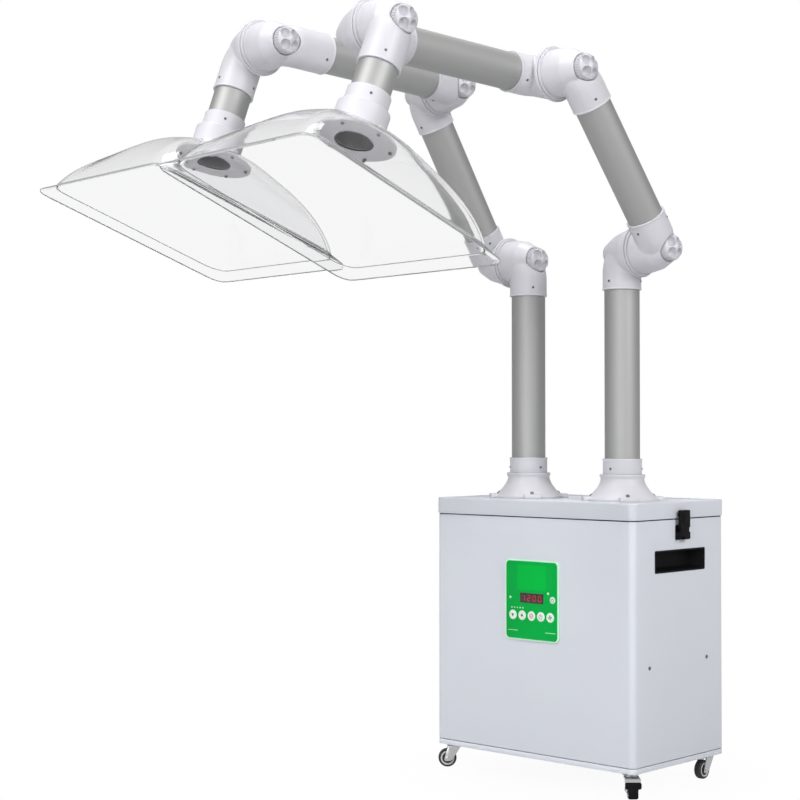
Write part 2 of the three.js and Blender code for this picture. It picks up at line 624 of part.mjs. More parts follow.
// Centre line of an elbow half: in from the joint face, round the bend and up to the socket's mouth
class DuctPath extends THREE.Curve {
  constructor(from, to) {
    super();
    const corner = elbowOffset - bendRadius;
    const turns = [0, Math.PI / 6, Math.PI / 3, Math.PI / 2];
    this.points = [new THREE.Vector3(from, 0, 0)];
    this.tangents = [new THREE.Vector3(1, 0, 0)];
    for (const turn of turns) {
      this.points.push(new THREE.Vector3(corner + bendRadius * Math.sin(turn), 0,
        bendRadius * (1 - Math.cos(turn))));
      this.tangents.push(new THREE.Vector3(Math.cos(turn), 0, Math.sin(turn)));
    }
    this.points.push(new THREE.Vector3(elbowOffset, 0, to));
    this.tangents.push(new THREE.Vector3(0, 0, 1));
    this.steps = this.points.length - 1;
  }

  getSpacedPoints() {
    return this.points;
  }

  getTangentAt(share) {
    return this.tangents[Math.round(share * this.steps)].clone();
  }
}

function duct(radius, from, to) {
  const corners = [];
  for (let i = 0; i < ROUND_SIDES; i += 1) {
    const angle = i * 2 * Math.PI / ROUND_SIDES;
    corners.push(new THREE.Vector2(radius * Math.cos(angle), radius * Math.sin(angle)));
  }
  const path = new DuctPath(from, to);
  return solid(new THREE.ExtrudeGeometry(new THREE.Shape(corners), { steps: path.steps, extrudePath: path }));
}

// Elbow half: the joint face is at x = 0, the tube goes up at x = elbowOffset, the knob is on +x
// Its drum narrows to a nose that ends in a pocket for the knob or in a seat for the nut
function elbowHalf(reach, carriesKnob) {
  const face = CLEARANCE / 2;
  const ring = drumRadius + JOINT_RING_PROUD;
  const studBore = turningHole(STUD_RADIUS, PIN_SIDES);
  const pocketRadius = turningHole(KNOB_RADIUS, ROUND_SIDES);
  const noseRadius = carriesKnob ? pocketRadius + BOSS_WALL : NUT_BOSS_RADIUS;
  const noseEnd = elbowOffset + (carriesKnob ? KNOB_BACK + NOSE_OVERLAP : BOSS_FACE);
  const drum = solid(turned([[studBore, face], [ring, face], [ring, JOINT_RING_WIDTH],
    [drumRadius, JOINT_RING_WIDTH], [drumRadius, DRUM_LENGTH], [noseRadius, noseEnd],
    [studBore, noseEnd]]).rotateY(Math.PI / 2));
  const skin = duct(elbowRadius, ELBOW_LEAD - CUT_MARGIN, reach);
  const bore = duct(ductRadius, -CUT_MARGIN, reach + CUT_MARGIN);
  const drumRoom = bar('x', drumRadius - DRUM_WALL, -CUT_MARGIN, DRUM_LENGTH - DRUM_END);
  const socket = bar('z', boreRadius, reach - SOCKET_DEPTH, reach + CUT_MARGIN, [elbowOffset, 0, 0]);
  const outside = join(drum, skin);
  const shell = cut(outside, bore, drumRoom, socket);
  const boss = shared(outside, bar('x', noseRadius, elbowOffset + BOSS_BACK, elbowOffset + elbowRadius));
  const studHole = bar('x', studBore, 0, elbowOffset + KNOB_BACK, [0, 0, 0], PIN_SIDES);
  const pocket = bar('x', pocketRadius, elbowOffset + KNOB_BACK - KNOB_GAP,
    elbowOffset + elbowRadius + CUT_MARGIN);
  return carriesKnob ? cut(join(shell, boss), studHole, pocket) : cut(join(shell, boss), studHole);
}

// Clamping knob with its stud, on the joint axis: the stud runs through both halves
function clampKnob() {
  const back = elbowOffset + KNOB_BACK;
  const front = back + KNOB_DEPTH;
  const head = bar('x', KNOB_RADIUS, back, front);
  const corner = KNOB_RADIUS + CUT_MARGIN;
  const grooves = [];
  for (let i = 0; i < KNOB_LOBES; i += 1) {
    const side = KNOB_LOBE_WIDTH / 2;
    const pocket = new THREE.BoxGeometry(KNOB_GROOVE + CUT_MARGIN, corner - side, corner - side);
    pocket.translate(front + (CUT_MARGIN - KNOB_GROOVE) / 2, (corner + side) / 2, (corner + side) / 2);
    pocket.rotateX(i * 2 * Math.PI / KNOB_LOBES);
    grooves.push(solid(pocket));
  }
  const stud = bar('x', STUD_RADIUS, -elbowOffset - KNOB_BACK + STUD_SEAT, back + JOIN_OVERLAP, [0, 0, 0],
    PIN_SIDES);
  return join(cut(head, ...grooves), stud);
}

// Hood collar: socket for the hood tube, a turning ring and the plate that holds the hood's crown
function hoodCollar() {
  const ringEnd = hoodCollarEnd + HOOD_RING_HEIGHT;
  const plateTop = ringEnd + HOOD_CONE;
  const step = hoodCollarTop + TUBE_ENTRY;
  return turned([[collarRadius, hoodCollarTop], [collarRadius, hoodCollarEnd],
    [hoodRingRadius, hoodCollarEnd], [hoodRingRadius, ringEnd], [HOOD_PLATE_RADIUS, plateTop],
    [HOOD_PLATE_RADIUS, hoodCrownDrop], [ductRadius, hoodCrownDrop], [ductRadius, step],
    [boreRadius, step], [boreRadius, hoodCollarTop]]);
}

// How far the edge of a rounded square lies from its middle, in a given direction
function roundedSquareReach(angle, half, corner) {
  const quarter = Math.PI / 2;
  const folded = Math.abs(((angle % quarter) + quarter) % quarter - quarter / 2);
  const turn = quarter / 2 - folded;
  const centre = half - corner;
  if (half * Math.tan(turn) <= centre) return half / Math.cos(turn);
  const along = centre * (Math.cos(turn) + Math.sin(turn));
  return along + Math.sqrt(along * along - 2 * centre * centre + corner * corner);
}

// Hood: a clear pillow dome that grows from a round crown to a rounded-square brim
function hood() {
  const half = HOOD_WIDTH / 2;
  const wallEnd = half - HOOD_BRIM;
  const top = hoodCrownDrop + CLEARANCE;
  const height = hoodRimDrop - top - HOOD_WALL;
  const dome = (inset) => HOOD_STEPS.map((share) => {
    const radius = HOOD_CROWN_RADIUS + (wallEnd - inset - HOOD_CROWN_RADIUS) * share;
    return [radius, top + inset + height * (1 - (1 - share * share) ** HOOD_FULLNESS)];
  });
  const outside = [[ductRadius, top], [HOOD_CROWN_RADIUS, top], ...dome(0),
    [wallEnd, hoodRimDrop - HOOD_WALL], [half, hoodRimDrop - HOOD_WALL]];
  const inside = [[ductRadius, top + HOOD_WALL], [HOOD_CROWN_RADIUS, top + HOOD_WALL], ...dome(HOOD_WALL),
    [wallEnd - HOOD_WALL, hoodRimDrop], [half, hoodRimDrop]];
  const geometry = turned([...inside, ...outside.reverse()].reverse(), HOOD_SIDES);
  const place = geometry.attributes.position;
  for (let i = 0; i < place.count; i += 1) {
    const x = place.getX(i);
    const y = place.getY(i);
    const radius = Math.hypot(x, y);
    const share = THREE.MathUtils.smoothstep(radius, HOOD_CROWN_RADIUS, wallEnd - HOOD_WALL);
    const square = roundedSquareReach(Math.atan2(y, x), half, HOOD_CORNER) / half;
    const spread = 1 + share * (square - 1);
    const deepen = 1 + share * (HOOD_DEPTH / HOOD_WIDTH - 1);
    place.setXY(i, x * spread, y * spread * deepen);
  }
  return geometry;
}

// Cabinet and what is on it
addPiece('base_pan', basePan(), cabinetPaint);
addPiece('cabinet_body', cabinetBody(), cabinetPaint);
addPiece('lid', lidTray(), cabinetPaint);
addPiece('control_panel', controlPanel(), panelGreen);
for (const key of keyPlaces) addPiece(key.name, keyCap(key), keyWhite);
addPiece('rear_panel', rearPanel(), cabinetPaint);
addPiece('fan_housing', fanHousing(), darkSteel);
addPiece('fan_impeller', fanImpeller(), blackPlastic);
addPiece('filter_cartridge', filterCartridge(), filterFleece);
for (const [side, name] of [[-1, 'left'], [1, 'right']]) {
  addPiece(`handle_${name}`, sideHandle(side), blackPlastic);
  addPiece(`latch_lever_${name}`, latchLever(side), blackPlastic);
}

// Castors, front left first and then round to the rear left
const castorCorners = [['front_left', -1, -1], ['front_right', 1, -1], ['rear_right', 1, 1],
  ['rear_left', -1, 1]];
castorCorners.forEach(([name, right, back], i) => {
  const castor = new THREE.Group();
  castor.position.set(right * (bodyWidth / 2 - CASTOR_INSET_X), back * (bodyDepth / 2 - CASTOR_INSET_Y), 0);
  castor.rotation.z = THREE.MathUtils.degToRad(CASTOR_YAWS[i]);
  addPiece(`castor_fork_${name}`, castorFork(), zincSteel, castor);
  addPiece(`castor_wheel_${name}`, castorWheel(), wheelRubber, castor);
  object.add(castor);
});

// Turns an elbow half so that its joint face and its socket point the right way
function turnHalf(mesh, outward, upward) {
  if (outward > 0 && upward < 0) mesh.rotation.x = Math.PI;
  if (outward < 0 && upward > 0) mesh.rotation.z = Math.PI;
  if (outward < 0 && upward < 0) mesh.rotation.y = Math.PI;
}

// One arm: mirrored left and right, except that every knob is on the right-hand end of its joint
function addArm(side, x) {
  const lean = side === 'right' ? 1 : -1;
  const arm = new THREE.Group();
  arm.position.set(x, 0, CABINET_HEIGHT);
  arm.rotation.z = armYaw;
  object.add(arm);
  const links = ['link', 'fore', 'hood'];
  const tilts = { link: LINK_TILT[side], fore: FORE_TILT[side], hood: HOOD_TILT[side] };
  const lengths = { link: LINK_LENGTH, fore: FORE_LENGTH };
  const frames = {};
  const start = new THREE.Vector3(0, 0, POST_AXIS_HEIGHT);
  for (const link of links) {
    const tilt = THREE.MathUtils.degToRad(tilts[link]);
    const frame = new THREE.Group();
    frame.position.copy(start);
    frame.rotation.x = tilt;
    arm.add(frame);
    frames[link] = frame;
    const along = new THREE.Vector3(0, -Math.sin(tilt), Math.cos(tilt));
    start.addScaledVector(along, lengths[link] ?? 0);
  }
  const shift = 2 * elbowOffset * lean;
  const seam = elbowOffset * lean;

  const addHalf = (name, frame, height, outward, upward, reach) => {
    const mesh = addPiece(`${side}_${name}`, elbowHalf(reach, outward > 0), whitePlastic, frame);
    mesh.position.set(seam, 0, height);
    turnHalf(mesh, outward, upward);
  };
  const addKnob = (name, frame, height) => {
    const mesh = addPiece(`${side}_${name}`, clampKnob(), whitePlastic, frame);
    mesh.position.set(seam, 0, height);
  };
  const addTube = (name, frame, offset, from, to) => {
    const mesh = addPiece(`${side}_${name}`, tube(from, to), aluminium, frame);
    mesh.position.x = offset;
  };

  const entry = SOCKET_DEPTH - CLEARANCE;
  const collarTop = FLANGE_HEIGHT + CLEARANCE + COLLAR_HEIGHT;
  addPiece(`${side}_base_flange`, baseFlange(), whitePlastic, arm);
  addPiece(`${side}_post_collar`, postCollar(), whitePlastic, arm);
  addTube('post_tube', arm, 0, collarTop - TUBE_ENTRY + CLEARANCE, POST_AXIS_HEIGHT - SOCKET_REACH + entry);
  addHalf('elbow_1_lower', arm, POST_AXIS_HEIGHT, -lean, -1, SOCKET_REACH);
  addHalf('elbow_1_upper', frames.link, 0, lean, 1, SOCKET_REACH);
  addKnob('knob_1', lean > 0 ? frames.link : arm, lean > 0 ? 0 : POST_AXIS_HEIGHT);
  addTube('link_tube', frames.link, shift, SOCKET_REACH - entry, LINK_LENGTH - SOCKET_REACH + entry);
  addHalf('elbow_2_lower', frames.link, LINK_LENGTH, lean, -1, SOCKET_REACH);
  addHalf('elbow_2_upper', frames.fore, 0, -lean, 1, SOCKET_REACH);
  addKnob('knob_2', lean > 0 ? frames.link : frames.fore, lean > 0 ? LINK_LENGTH : 0);
  addTube('fore_tube', frames.fore, 0, SOCKET_REACH - entry, FORE_LENGTH - FORE_TIP_REACH + entry);
  addHalf('elbow_3_inner', frames.fore, FORE_LENGTH, -lean, -1, FORE_TIP_REACH);
  addHalf('elbow_3_outer', frames.hood, 0, lean, 1, HOOD_REACH);
  addKnob('knob_3', lean > 0 ? frames.hood : frames.fore, lean > 0 ? 0 : FORE_LENGTH);
  addTube('hood_tube', frames.hood, shift, HOOD_REACH - entry, hoodCollarTop + TUBE_ENTRY - CLEARANCE);
  addPiece(`${side}_hood_collar`, hoodCollar(), whitePlastic, frames.hood).position.x = shift;
  addPiece(`${side}_hood`, hood(), clearAcrylic, frames.hood).position.x = shift;
}

addArm('left', postPlaces[0]);
addArm('right', postPlaces[1]);

export default object;
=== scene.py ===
import json
import math

import bmesh
import bpy
from mathutils import Matrix, Vector


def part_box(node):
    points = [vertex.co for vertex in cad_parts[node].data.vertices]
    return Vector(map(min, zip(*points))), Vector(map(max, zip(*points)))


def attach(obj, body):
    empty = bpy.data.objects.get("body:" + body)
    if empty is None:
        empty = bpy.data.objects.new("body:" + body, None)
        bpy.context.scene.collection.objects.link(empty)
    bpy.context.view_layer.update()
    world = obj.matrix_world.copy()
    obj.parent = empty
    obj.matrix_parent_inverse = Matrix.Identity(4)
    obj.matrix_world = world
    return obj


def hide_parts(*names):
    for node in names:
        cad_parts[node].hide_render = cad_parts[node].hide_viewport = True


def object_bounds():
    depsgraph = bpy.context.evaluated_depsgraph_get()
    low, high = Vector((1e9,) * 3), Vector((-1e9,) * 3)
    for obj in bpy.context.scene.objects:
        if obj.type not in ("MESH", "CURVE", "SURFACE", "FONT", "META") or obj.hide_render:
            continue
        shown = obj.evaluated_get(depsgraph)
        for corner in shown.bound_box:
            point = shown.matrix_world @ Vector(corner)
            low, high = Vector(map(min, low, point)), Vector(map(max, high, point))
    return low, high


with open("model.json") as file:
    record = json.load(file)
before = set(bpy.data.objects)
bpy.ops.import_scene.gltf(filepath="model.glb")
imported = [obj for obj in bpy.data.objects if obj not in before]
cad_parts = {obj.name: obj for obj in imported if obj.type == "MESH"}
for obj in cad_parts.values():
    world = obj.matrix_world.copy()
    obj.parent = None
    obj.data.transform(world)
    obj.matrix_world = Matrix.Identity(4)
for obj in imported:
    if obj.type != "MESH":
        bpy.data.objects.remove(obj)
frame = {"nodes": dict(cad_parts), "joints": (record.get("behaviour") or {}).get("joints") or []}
cad_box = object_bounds()

# Camera
# The unit is seen from its right front corner, from a little above the lid of the cabinet, through a
# lens of about 76 mm, so that the tubes stay nearly parallel.
PICTURE_WIDTH = 800
FOCAL_LENGTH_PIXELS = 1694.65
SENSOR_WIDTH = 36
camera_place = Vector((2.2437, -2.9649, 0.6850))
view_direction = Vector((-0.68315, 0.73003, 0.01920))
bpy.ops.object.select_all(action="DESELECT")
camera_turn = view_direction.to_track_quat("-Z", "Y").to_euler()
bpy.ops.object.camera_add(location=camera_place, rotation=camera_turn)
camera = bpy.context.object
camera.data.sensor_width = SENSOR_WIDTH
camera.data.lens = SENSOR_WIDTH * FOCAL_LENGTH_PIXELS / PICTURE_WIDTH
bpy.context.scene.camera = camera
bpy.context.scene.view_settings.view_transform = "Standard"


# Floor and light
# A white studio floor that runs out of sight, a white surround and four large soft lamps: the main one
# high in front, one low beside the camera, one from the right and one overhead.
class Value:
    """A socket inside a finish. Arithmetic and comparisons on it add Math nodes."""

    def __init__(self, finish, socket):
        self.finish = finish
        self.socket = socket

    def math(self, operation, *values):
        return self.finish.node("ShaderNodeMath", {"operation": operation}, dict(enumerate(values)))

    def __add__(self, other):
        return self.math("ADD", self, other)

    def __radd__(self, other):
        return self.math("ADD", other, self)

    def __sub__(self, other):
        return self.math("SUBTRACT", self, other)

    def __rsub__(self, other):
        return self.math("SUBTRACT", other, self)

    def __mul__(self, other):
        return self.math("MULTIPLY", self, other)

    def __rmul__(self, other):
        return self.math("MULTIPLY", other, self)

    def __truediv__(self, other):
        return self.math("DIVIDE", self, other)

    def __pow__(self, other):
        return self.math("POWER", self, other)

    def __lt__(self, other):
        return self.math("LESS_THAN", self, other)

    def __gt__(self, other):
        return self.math("GREATER_THAN", self, other)

    def __abs__(self):
        return self.math("ABSOLUTE", self)

    def or_more(self, other):
        return self.math("MAXIMUM", self, other)


class Finish:
    """A material of the object: a Principled shader whose sockets take numbers, colours or values."""

    def __init__(self, name, slot=None):
        self.slot = slot
        self.material = bpy.data.materials.new(name)
        self.material.use_nodes = True
        self.tree = self.material.node_tree
        self.shader = self.tree.nodes["Principled BSDF"]

    def node(self, kind, settings, inputs, output=0):
        made = self.tree.nodes.new(kind)
        for name, value in settings.items():
            setattr(made, name, value)
        for key, value in inputs.items():
            self.connect(made.inputs[key], value)
        return Value(self, made.outputs[output])

    def connect(self, socket, value):
        if isinstance(value, Value):
            self.tree.links.new(value.socket, socket)
        else:
            socket.default_value = value

    def give(self, **sockets):
        for name, value in sockets.items():
            self.connect(self.shader.inputs[name.replace("_", " ").title().replace("Ior", "IOR")], value)

    def place(self):
        return self.node("ShaderNodeTexCoord", {}, {}, "Object")

    def axes(self):
        parts = self.node("ShaderNodeSeparateXYZ", {}, {0: self.place()})
        return [Value(self, socket) for socket in parts.socket.node.outputs]

    def noise(self, scale, detail=2.0, vector=None):
        vector = vector or self.place()
        return self.node("ShaderNodeTexNoise", {}, {"Vector": vector, "Scale": scale, "Detail": detail})

    def mix(self, factor, first, second):
        return self.node("ShaderNodeMix", {"data_type": "RGBA"}, {0: factor, 6: first, 7: second}, 2)

    def bump(self, height, strength, distance):
        return self.node("ShaderNodeBump", {}, {"Strength": strength, "Distance": distance, "Height": height})

    def shader_mix(self, factor, first, second):
        return self.node("ShaderNodeMixShader", {}, {0: factor, 1: first, 2: second})

    def show(self, shader):
        self.connect(self.tree.nodes["Material Output"].inputs["Surface"], shader)


def ray_kinds(finish):
    """Three values: 1 on rays from the camera or through clear walls, 1 on glossy rays, 1 on all others."""
    path = finish.node("ShaderNodeLightPath", {}, {}, "Is Camera Ray")
    rays = path.socket.node.outputs
    looking = path.or_more(Value(finish, rays["Is Transmission Ray"]))
    glossy = Value(finish, rays["Is Glossy Ray"]) * (1 - looking)
    return looking, glossy, 1 - looking - glossy


WHITE = (1, 1, 1, 1)
FLOOR_SIZE = 60
FLOOR_GREY = (0.42, 0.42, 0.43, 1)
FLOOR_IN_GLOSS = 0.8
# Painted shade on the floor: how far it reaches from the middle and how much of the white glow it takes away.
PAINTED_SHADE_REACH = 0.5
PAINTED_SHADE_SHARE = 0.06
bpy.ops.object.select_all(action="DESELECT")
bpy.ops.mesh.primitive_plane_add(size=FLOOR_SIZE, location=(0, 0, cad_box[0][2]))
floor = bpy.context.object
floor.name = "floor"
floor_white = Finish("floor_white")
floor_white.give(base_color=FLOOR_GREY, roughness=0.9)
looking, glossy = ray_kinds(floor_white)[:2]
x, y, z = floor_white.axes()
# Painted shade: near the middle a small share of the camera-seen white glow gives way to the lit grey floor,
# so the floor is darker round the object. The real shadow shows through that share.
painted_shade_nearness = (1 - (x * x + y * y) ** 0.5 / PAINTED_SHADE_REACH).or_more(0)
glow_strength = looking + FLOOR_IN_GLOSS * glossy
glow = floor_white.node("ShaderNodeEmission", {}, {"Color": WHITE, "Strength": glow_strength})
plain = Value(floor_white, floor_white.shader.outputs[0])
glow_share = looking * (1 - PAINTED_SHADE_SHARE * painted_shade_nearness) + glossy
floor_white.show(floor_white.shader_mix(glow_share, plain, glow))
floor.data.materials.append(floor_white.material)

SURROUND_LIGHT = 0.20
SURROUND_IN_GLOSS = 0.42
world = bpy.data.worlds.new("surround")
world.use_nodes = True
bpy.context.scene.world = world
surround = Finish("surround_helper")
bpy.data.materials.remove(surround.material)
surround.tree = world.node_tree
background = world.node_tree.nodes["Background"]
background.inputs["Color"].default_value = WHITE
looking, glossy, lighting = ray_kinds(surround)
strength = looking + SURROUND_IN_GLOSS * glossy + SURROUND_LIGHT * lighting
surround.connect(background.inputs["Strength"], strength)

LAMP_AIM = Vector((0, -0.3, 0.8))


def lamp(name, place, size, watts):
    """Hangs a square soft lamp that looks at the middle of the object."""
    lamp_turn = (LAMP_AIM - Vector(place)).to_track_quat("-Z", "Y").to_euler()
    bpy.ops.object.light_add(type="AREA", location=place, rotation=lamp_turn)
    light = bpy.context.object
    light.name = name
    light.data.size = size
    light.data.energy = watts


lamp("main_lamp", (-1.2, -10.4, 10.0), 4.8, 1000)
lamp("front_lamp", (2.2, -5.0, 1.5), 2.6, 86)
lamp("side_lamp", (7.5, -0.8, 4.5), 3.6, 360)
lamp("top_lamp", (-1.2, 0.6, 10.0), 4.4, 530)

# Base pan
# A folded sheet-steel tray, powder coated in the pale grey of the cabinet, that closes it from below.
# A pressed groove stiffens its floor, and the castors are screwed to its corners.
PAINT_LIGHT = (0.675, 0.70, 0.75, 1)
PAINT_DARK = (0.64, 0.665, 0.72, 1)
SHEET = 0.002
BODY_CORNER = 0.014
BASE_EDGE = 0.0007
BASE_REVEAL = 0.0012
BASE_GROOVE = ((-0.186, -0.136), (0.186, 0.136))
BASE_GROOVE_WIDTH = 0.008
BASE_GROOVE_DEPTH = 0.001
SMOOTH_ANGLE = math.radians(34)
FLAT = 0.9
PARALLEL = 0.99
ACROSS = 0.5
TOUCHING = 1e-5
X_AXIS, Y_AXIS, Z_AXIS = range(3)

cabinet_paint = Finish("cabinet_paint", "cabinet_paint")
grain = cabinet_paint.noise(900, 3)
cloud = cabinet_paint.noise(7, 3)
cabinet_paint.give(base_color=cabinet_paint.mix(cloud, PAINT_DARK, PAINT_LIGHT),
                   roughness=0.36 + 0.16 * grain,
                   normal=cabinet_paint.bump(grain, 0.18, 0.0003))


def select_only(*pieces):
    """Leaves these pieces selected and nothing else, the first one active."""
    bpy.ops.object.select_all(action="DESELECT")
    for piece in pieces:
        piece.select_set(True)
    bpy.context.view_layer.objects.active = pieces[0]


def keep_place():
    """Applies the place, turn and size of the selected piece to its mesh."""
    bpy.ops.object.transform_apply(location=True, rotation=True, scale=True)


def add(primitive, **settings):
    """Adds a primitive with nothing else selected and keeps its place in its mesh."""
    bpy.ops.object.select_all(action="DESELECT")
    primitive(**settings)
    keep_place()
    return bpy.context.object


def open_edit(piece):
    """Opens a piece in edit mode with nothing selected on it."""
    select_only(piece)
    bpy.ops.object.mode_set(mode="EDIT")
    bpy.ops.mesh.select_mode(type="VERT")
    bpy.ops.mesh.select_all(action="DESELECT")


def close_edit():
    bpy.ops.object.mode_set(mode="OBJECT")


def pick_faces(piece, test):
    """Selects the faces whose middle and normal pass a test."""
    bpy.ops.mesh.select_mode(type="FACE")
    bpy.ops.mesh.select_all(action="DESELECT")
    mesh = bmesh.from_edit_mesh(piece.data)
    for face in mesh.faces:
        if test(face.calc_center_median(), face.normal):
            face.select_set(True)
    bmesh.update_edit_mesh(piece.data)


def pick_side(piece, *direction):
    """Selects the flat faces that look in one direction."""
    pick_faces(piece, lambda middle, normal: normal.dot(Vector(direction)) > FLAT)


def pick_edges(piece, test):
    """Selects the edges whose middle and direction pass a test."""
    bpy.ops.mesh.select_mode(type="EDGE")
    bpy.ops.mesh.select_all(action="DESELECT")
    mesh = bmesh.from_edit_mesh(piece.data)
    for edge in mesh.edges:
        first, second = (corner.co for corner in edge.verts)
        if test((first + second) / 2, (second - first).normalized()):
            edge.select_set(True)
    bmesh.update_edit_mesh(piece.data)


def push(x, y, z):
    """Extrudes what is selected by a step."""
    bpy.ops.mesh.extrude_region_move(TRANSFORM_OT_translate={"value": (x, y, z)})


def modify(piece, kind, **settings):
    """Adds a modifier with these settings and applies it."""
    select_only(piece)
    modifier = piece.modifiers.new(kind.title(), kind)
    for name, value in settings.items():
        setattr(modifier, name, value)
    bpy.ops.object.modifier_apply(modifier=modifier.name)


def carve(piece, tool, operation="DIFFERENCE"):
    """Cuts a tool out of a piece, or does another operation with it, and throws the tool away."""
    modify(piece, "BOOLEAN", object=tool, operation=operation, solver="EXACT")
    bpy.data.objects.remove(tool)
    return piece


def weld(piece, addition):
    """Joins another piece on as one closed skin."""
    return carve(piece, addition, "UNION")


def soften(piece, width, steps=2):
    """Rounds every sharp edge of a piece."""
    modify(piece, "BEVEL", width=width, segments=steps, limit_method="ANGLE", angle_limit=SMOOTH_ANGLE)


def block(low, high, corner=0, edge=0.001, along=Z_AXIS, corner_steps=8):
    """Adds a box between two corners, with its edges along one axis rounded and the other edges eased."""
    low, high = Vector(low), Vector(high)
    piece = add(bpy.ops.mesh.primitive_cube_add, size=1, location=(low + high) / 2, scale=high - low)
    open_edit(piece)
    if corner:
        pick_edges(piece, lambda middle, direction: abs(direction[along]) > PARALLEL)
        bpy.ops.mesh.bevel(offset=corner, segments=corner_steps, affect="EDGES")
    if edge:
        pick_edges(piece, lambda middle, direction: abs(direction[along]) < ACROSS
                   and min(middle[along] - low[along], high[along] - middle[along]) < TOUCHING)
        bpy.ops.mesh.bevel(offset=edge, segments=2, affect="EDGES")
    close_edit()
    return piece


def fit(piece, name, body, finish, *nodes):
    """Names a finished piece, gives it its finish and lets it ride on a body in place of CAD nodes."""
    select_only(piece)
    keep_place()
    bpy.ops.object.shade_smooth_by_angle(angle=SMOOTH_ANGLE)
    piece.name = name
    piece.data.name = name
    piece.data.materials.clear()
    piece.data.materials.append(finish.material)
    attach(piece, body)
    if nodes:
        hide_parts(*nodes)
    return piece


pan_low, pan_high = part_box("base_pan")
pan = block(pan_low, pan_high - Vector((0, 0, BASE_REVEAL)), BODY_CORNER, BASE_EDGE)
open_edit(pan)
pick_side(pan, 0, 0, 1)
bpy.ops.mesh.inset(thickness=SHEET - BASE_EDGE)
pan_depth = pan_high.z - pan_low.z - BASE_REVEAL - SHEET
push(0, 0, -pan_depth)
close_edit()
groove_low, groove_high = (Vector((x, y, pan_low.z)) for x, y in BASE_GROOVE)
groove_reach = Vector((BASE_GROOVE_WIDTH, BASE_GROOVE_WIDTH, BASE_GROOVE_DEPTH))
groove = block(groove_low - groove_reach, groove_high + groove_reach, BODY_CORNER + BASE_GROOVE_WIDTH, edge=0)
field_reach = Vector((0, 0, 2 * BASE_GROOVE_DEPTH))
carve(groove, block(groove_low - field_reach, groove_high + field_reach, BODY_CORNER, edge=0))
carve(pan, groove)
fit(pan, "base_tray", "cabinet", cabinet_paint, "base_pan")

# Cabinet body
# One wrap of folded sheet steel with rounded upright corners, a flange round its open top and a shelf
# inside that the filter stands on. The sides are cut out for the handles, the back for air and power.
BODY_EDGE = 0.0006
TOP_FLANGE = 0.016
SHELF_TOP = 0.2
SHELF_HOLE = 0.066
SHELF_HOLE_Y = -0.02
HANDLE_HOLE_MARGIN = 0.0044
EXHAUST_HOLE = ((0.02, 0.068), (0.12, 0.174))
INLET_HOLE = ((-0.1355, 0.1055), (-0.0845, 0.1365))
SIDE_SCREWS = ((-0.111, 0.208), (0.098, 0.212))
SCREW_RADIUS = 0.0040
SCREW_HEAD = 0.0014
ROUND_SIDES = 64
MERGE_REACH = 1e-6

body_low, body_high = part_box("cabinet_body")
body_low = Vector((pan_low.x, pan_low.y, body_low.z))
body_high = Vector((pan_high.x, pan_high.y, body_high.z))
wrap = block(body_low, body_high, BODY_CORNER, BODY_EDGE)
open_edit(wrap)
pick_side(wrap, 0, 0, -1)
bpy.ops.mesh.delete(type="FACE")
pick_side(wrap, 0, 0, 1)
bpy.ops.mesh.inset(thickness=TOP_FLANGE)
bpy.ops.mesh.delete(type="FACE")
close_edit()
modify(wrap, "SOLIDIFY", thickness=SHEET, offset=-1)
shelf = block((body_low.x + SHEET / 2, body_low.y + SHEET / 2, SHELF_TOP - SHEET),
              (body_high.x - SHEET / 2, body_high.y - SHEET / 2, SHELF_TOP), BODY_CORNER - SHEET / 2, edge=0)
carve(shelf, add(bpy.ops.mesh.primitive_cylinder_add, vertices=ROUND_SIDES, radius=SHELF_HOLE,
                 depth=4 * SHEET, location=(0, SHELF_HOLE_Y, SHELF_TOP)))
weld(wrap, shelf)
for side in ("left", "right"):
    cup_low, cup_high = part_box(f"handle_{side}")
    margin = Vector((0, HANDLE_HOLE_MARGIN, HANDLE_HOLE_MARGIN))
    carve(wrap, block(cup_low + margin, cup_high - margin, edge=0))
for (low_x, low_z), (high_x, high_z) in (EXHAUST_HOLE, INLET_HOLE):
    carve(wrap, block((low_x, body_high.y - 2 * SHEET, low_z), (high_x, body_high.y + SHEET, high_z), edge=0))
fit(wrap, "cabinet_wrap", "cabinet", cabinet_paint, "cabinet_body")


def turned(outline, sides=ROUND_SIDES, capped=False):
    """Turns an outline of radius and height points round +Z: a closed one, or an open one with flat caps."""
    radius, height = outline[0]
    piece = add(bpy.ops.mesh.primitive_circle_add, vertices=sides, radius=radius, location=(0, 0, height),
                fill_type="NGON" if capped else "NOTHING")
    path = outline if capped else outline + outline[:1]
    open_edit(piece)
    bpy.ops.mesh.select_all(action="SELECT")
    for (r0, z0), (r1, z1) in zip(path, path[1:]):
        push(0, 0, z1 - z0)
        bpy.ops.transform.resize(value=(r1 / r0, r1 / r0, 1), center_override=(0, 0, z1))
    bpy.ops.mesh.select_all(action="SELECT")
    if not capped:
        bpy.ops.mesh.remove_doubles(threshold=MERGE_REACH)
    bpy.ops.mesh.normals_make_consistent(inside=False)
    close_edit()
    return piece


def turned_solid(outline, sides=ROUND_SIDES):
    """Turns an open outline to a solid with a flat cap on both ends."""
    return turned(outline, sides, capped=True)


def put(piece, matrix):
    """Moves a piece by a matrix and keeps the move in its mesh."""
    select_only(piece)
    piece.matrix_world = matrix @ piece.matrix_world
    keep_place()
    return piece


def move_by(x, y, z):
    """The matrix of a move."""
    return Matrix.Translation((x, y, z))


def turn_by(axis, degrees):
    """The matrix of a turn about an axis through the origin."""
    return Matrix.Rotation(math.radians(degrees), 4, axis)


def copy_of(piece):
    """Copies a piece with a mesh of its own."""
    twin = piece.copy()
    twin.data = piece.data.copy()
    bpy.context.collection.objects.link(twin)
    return twin


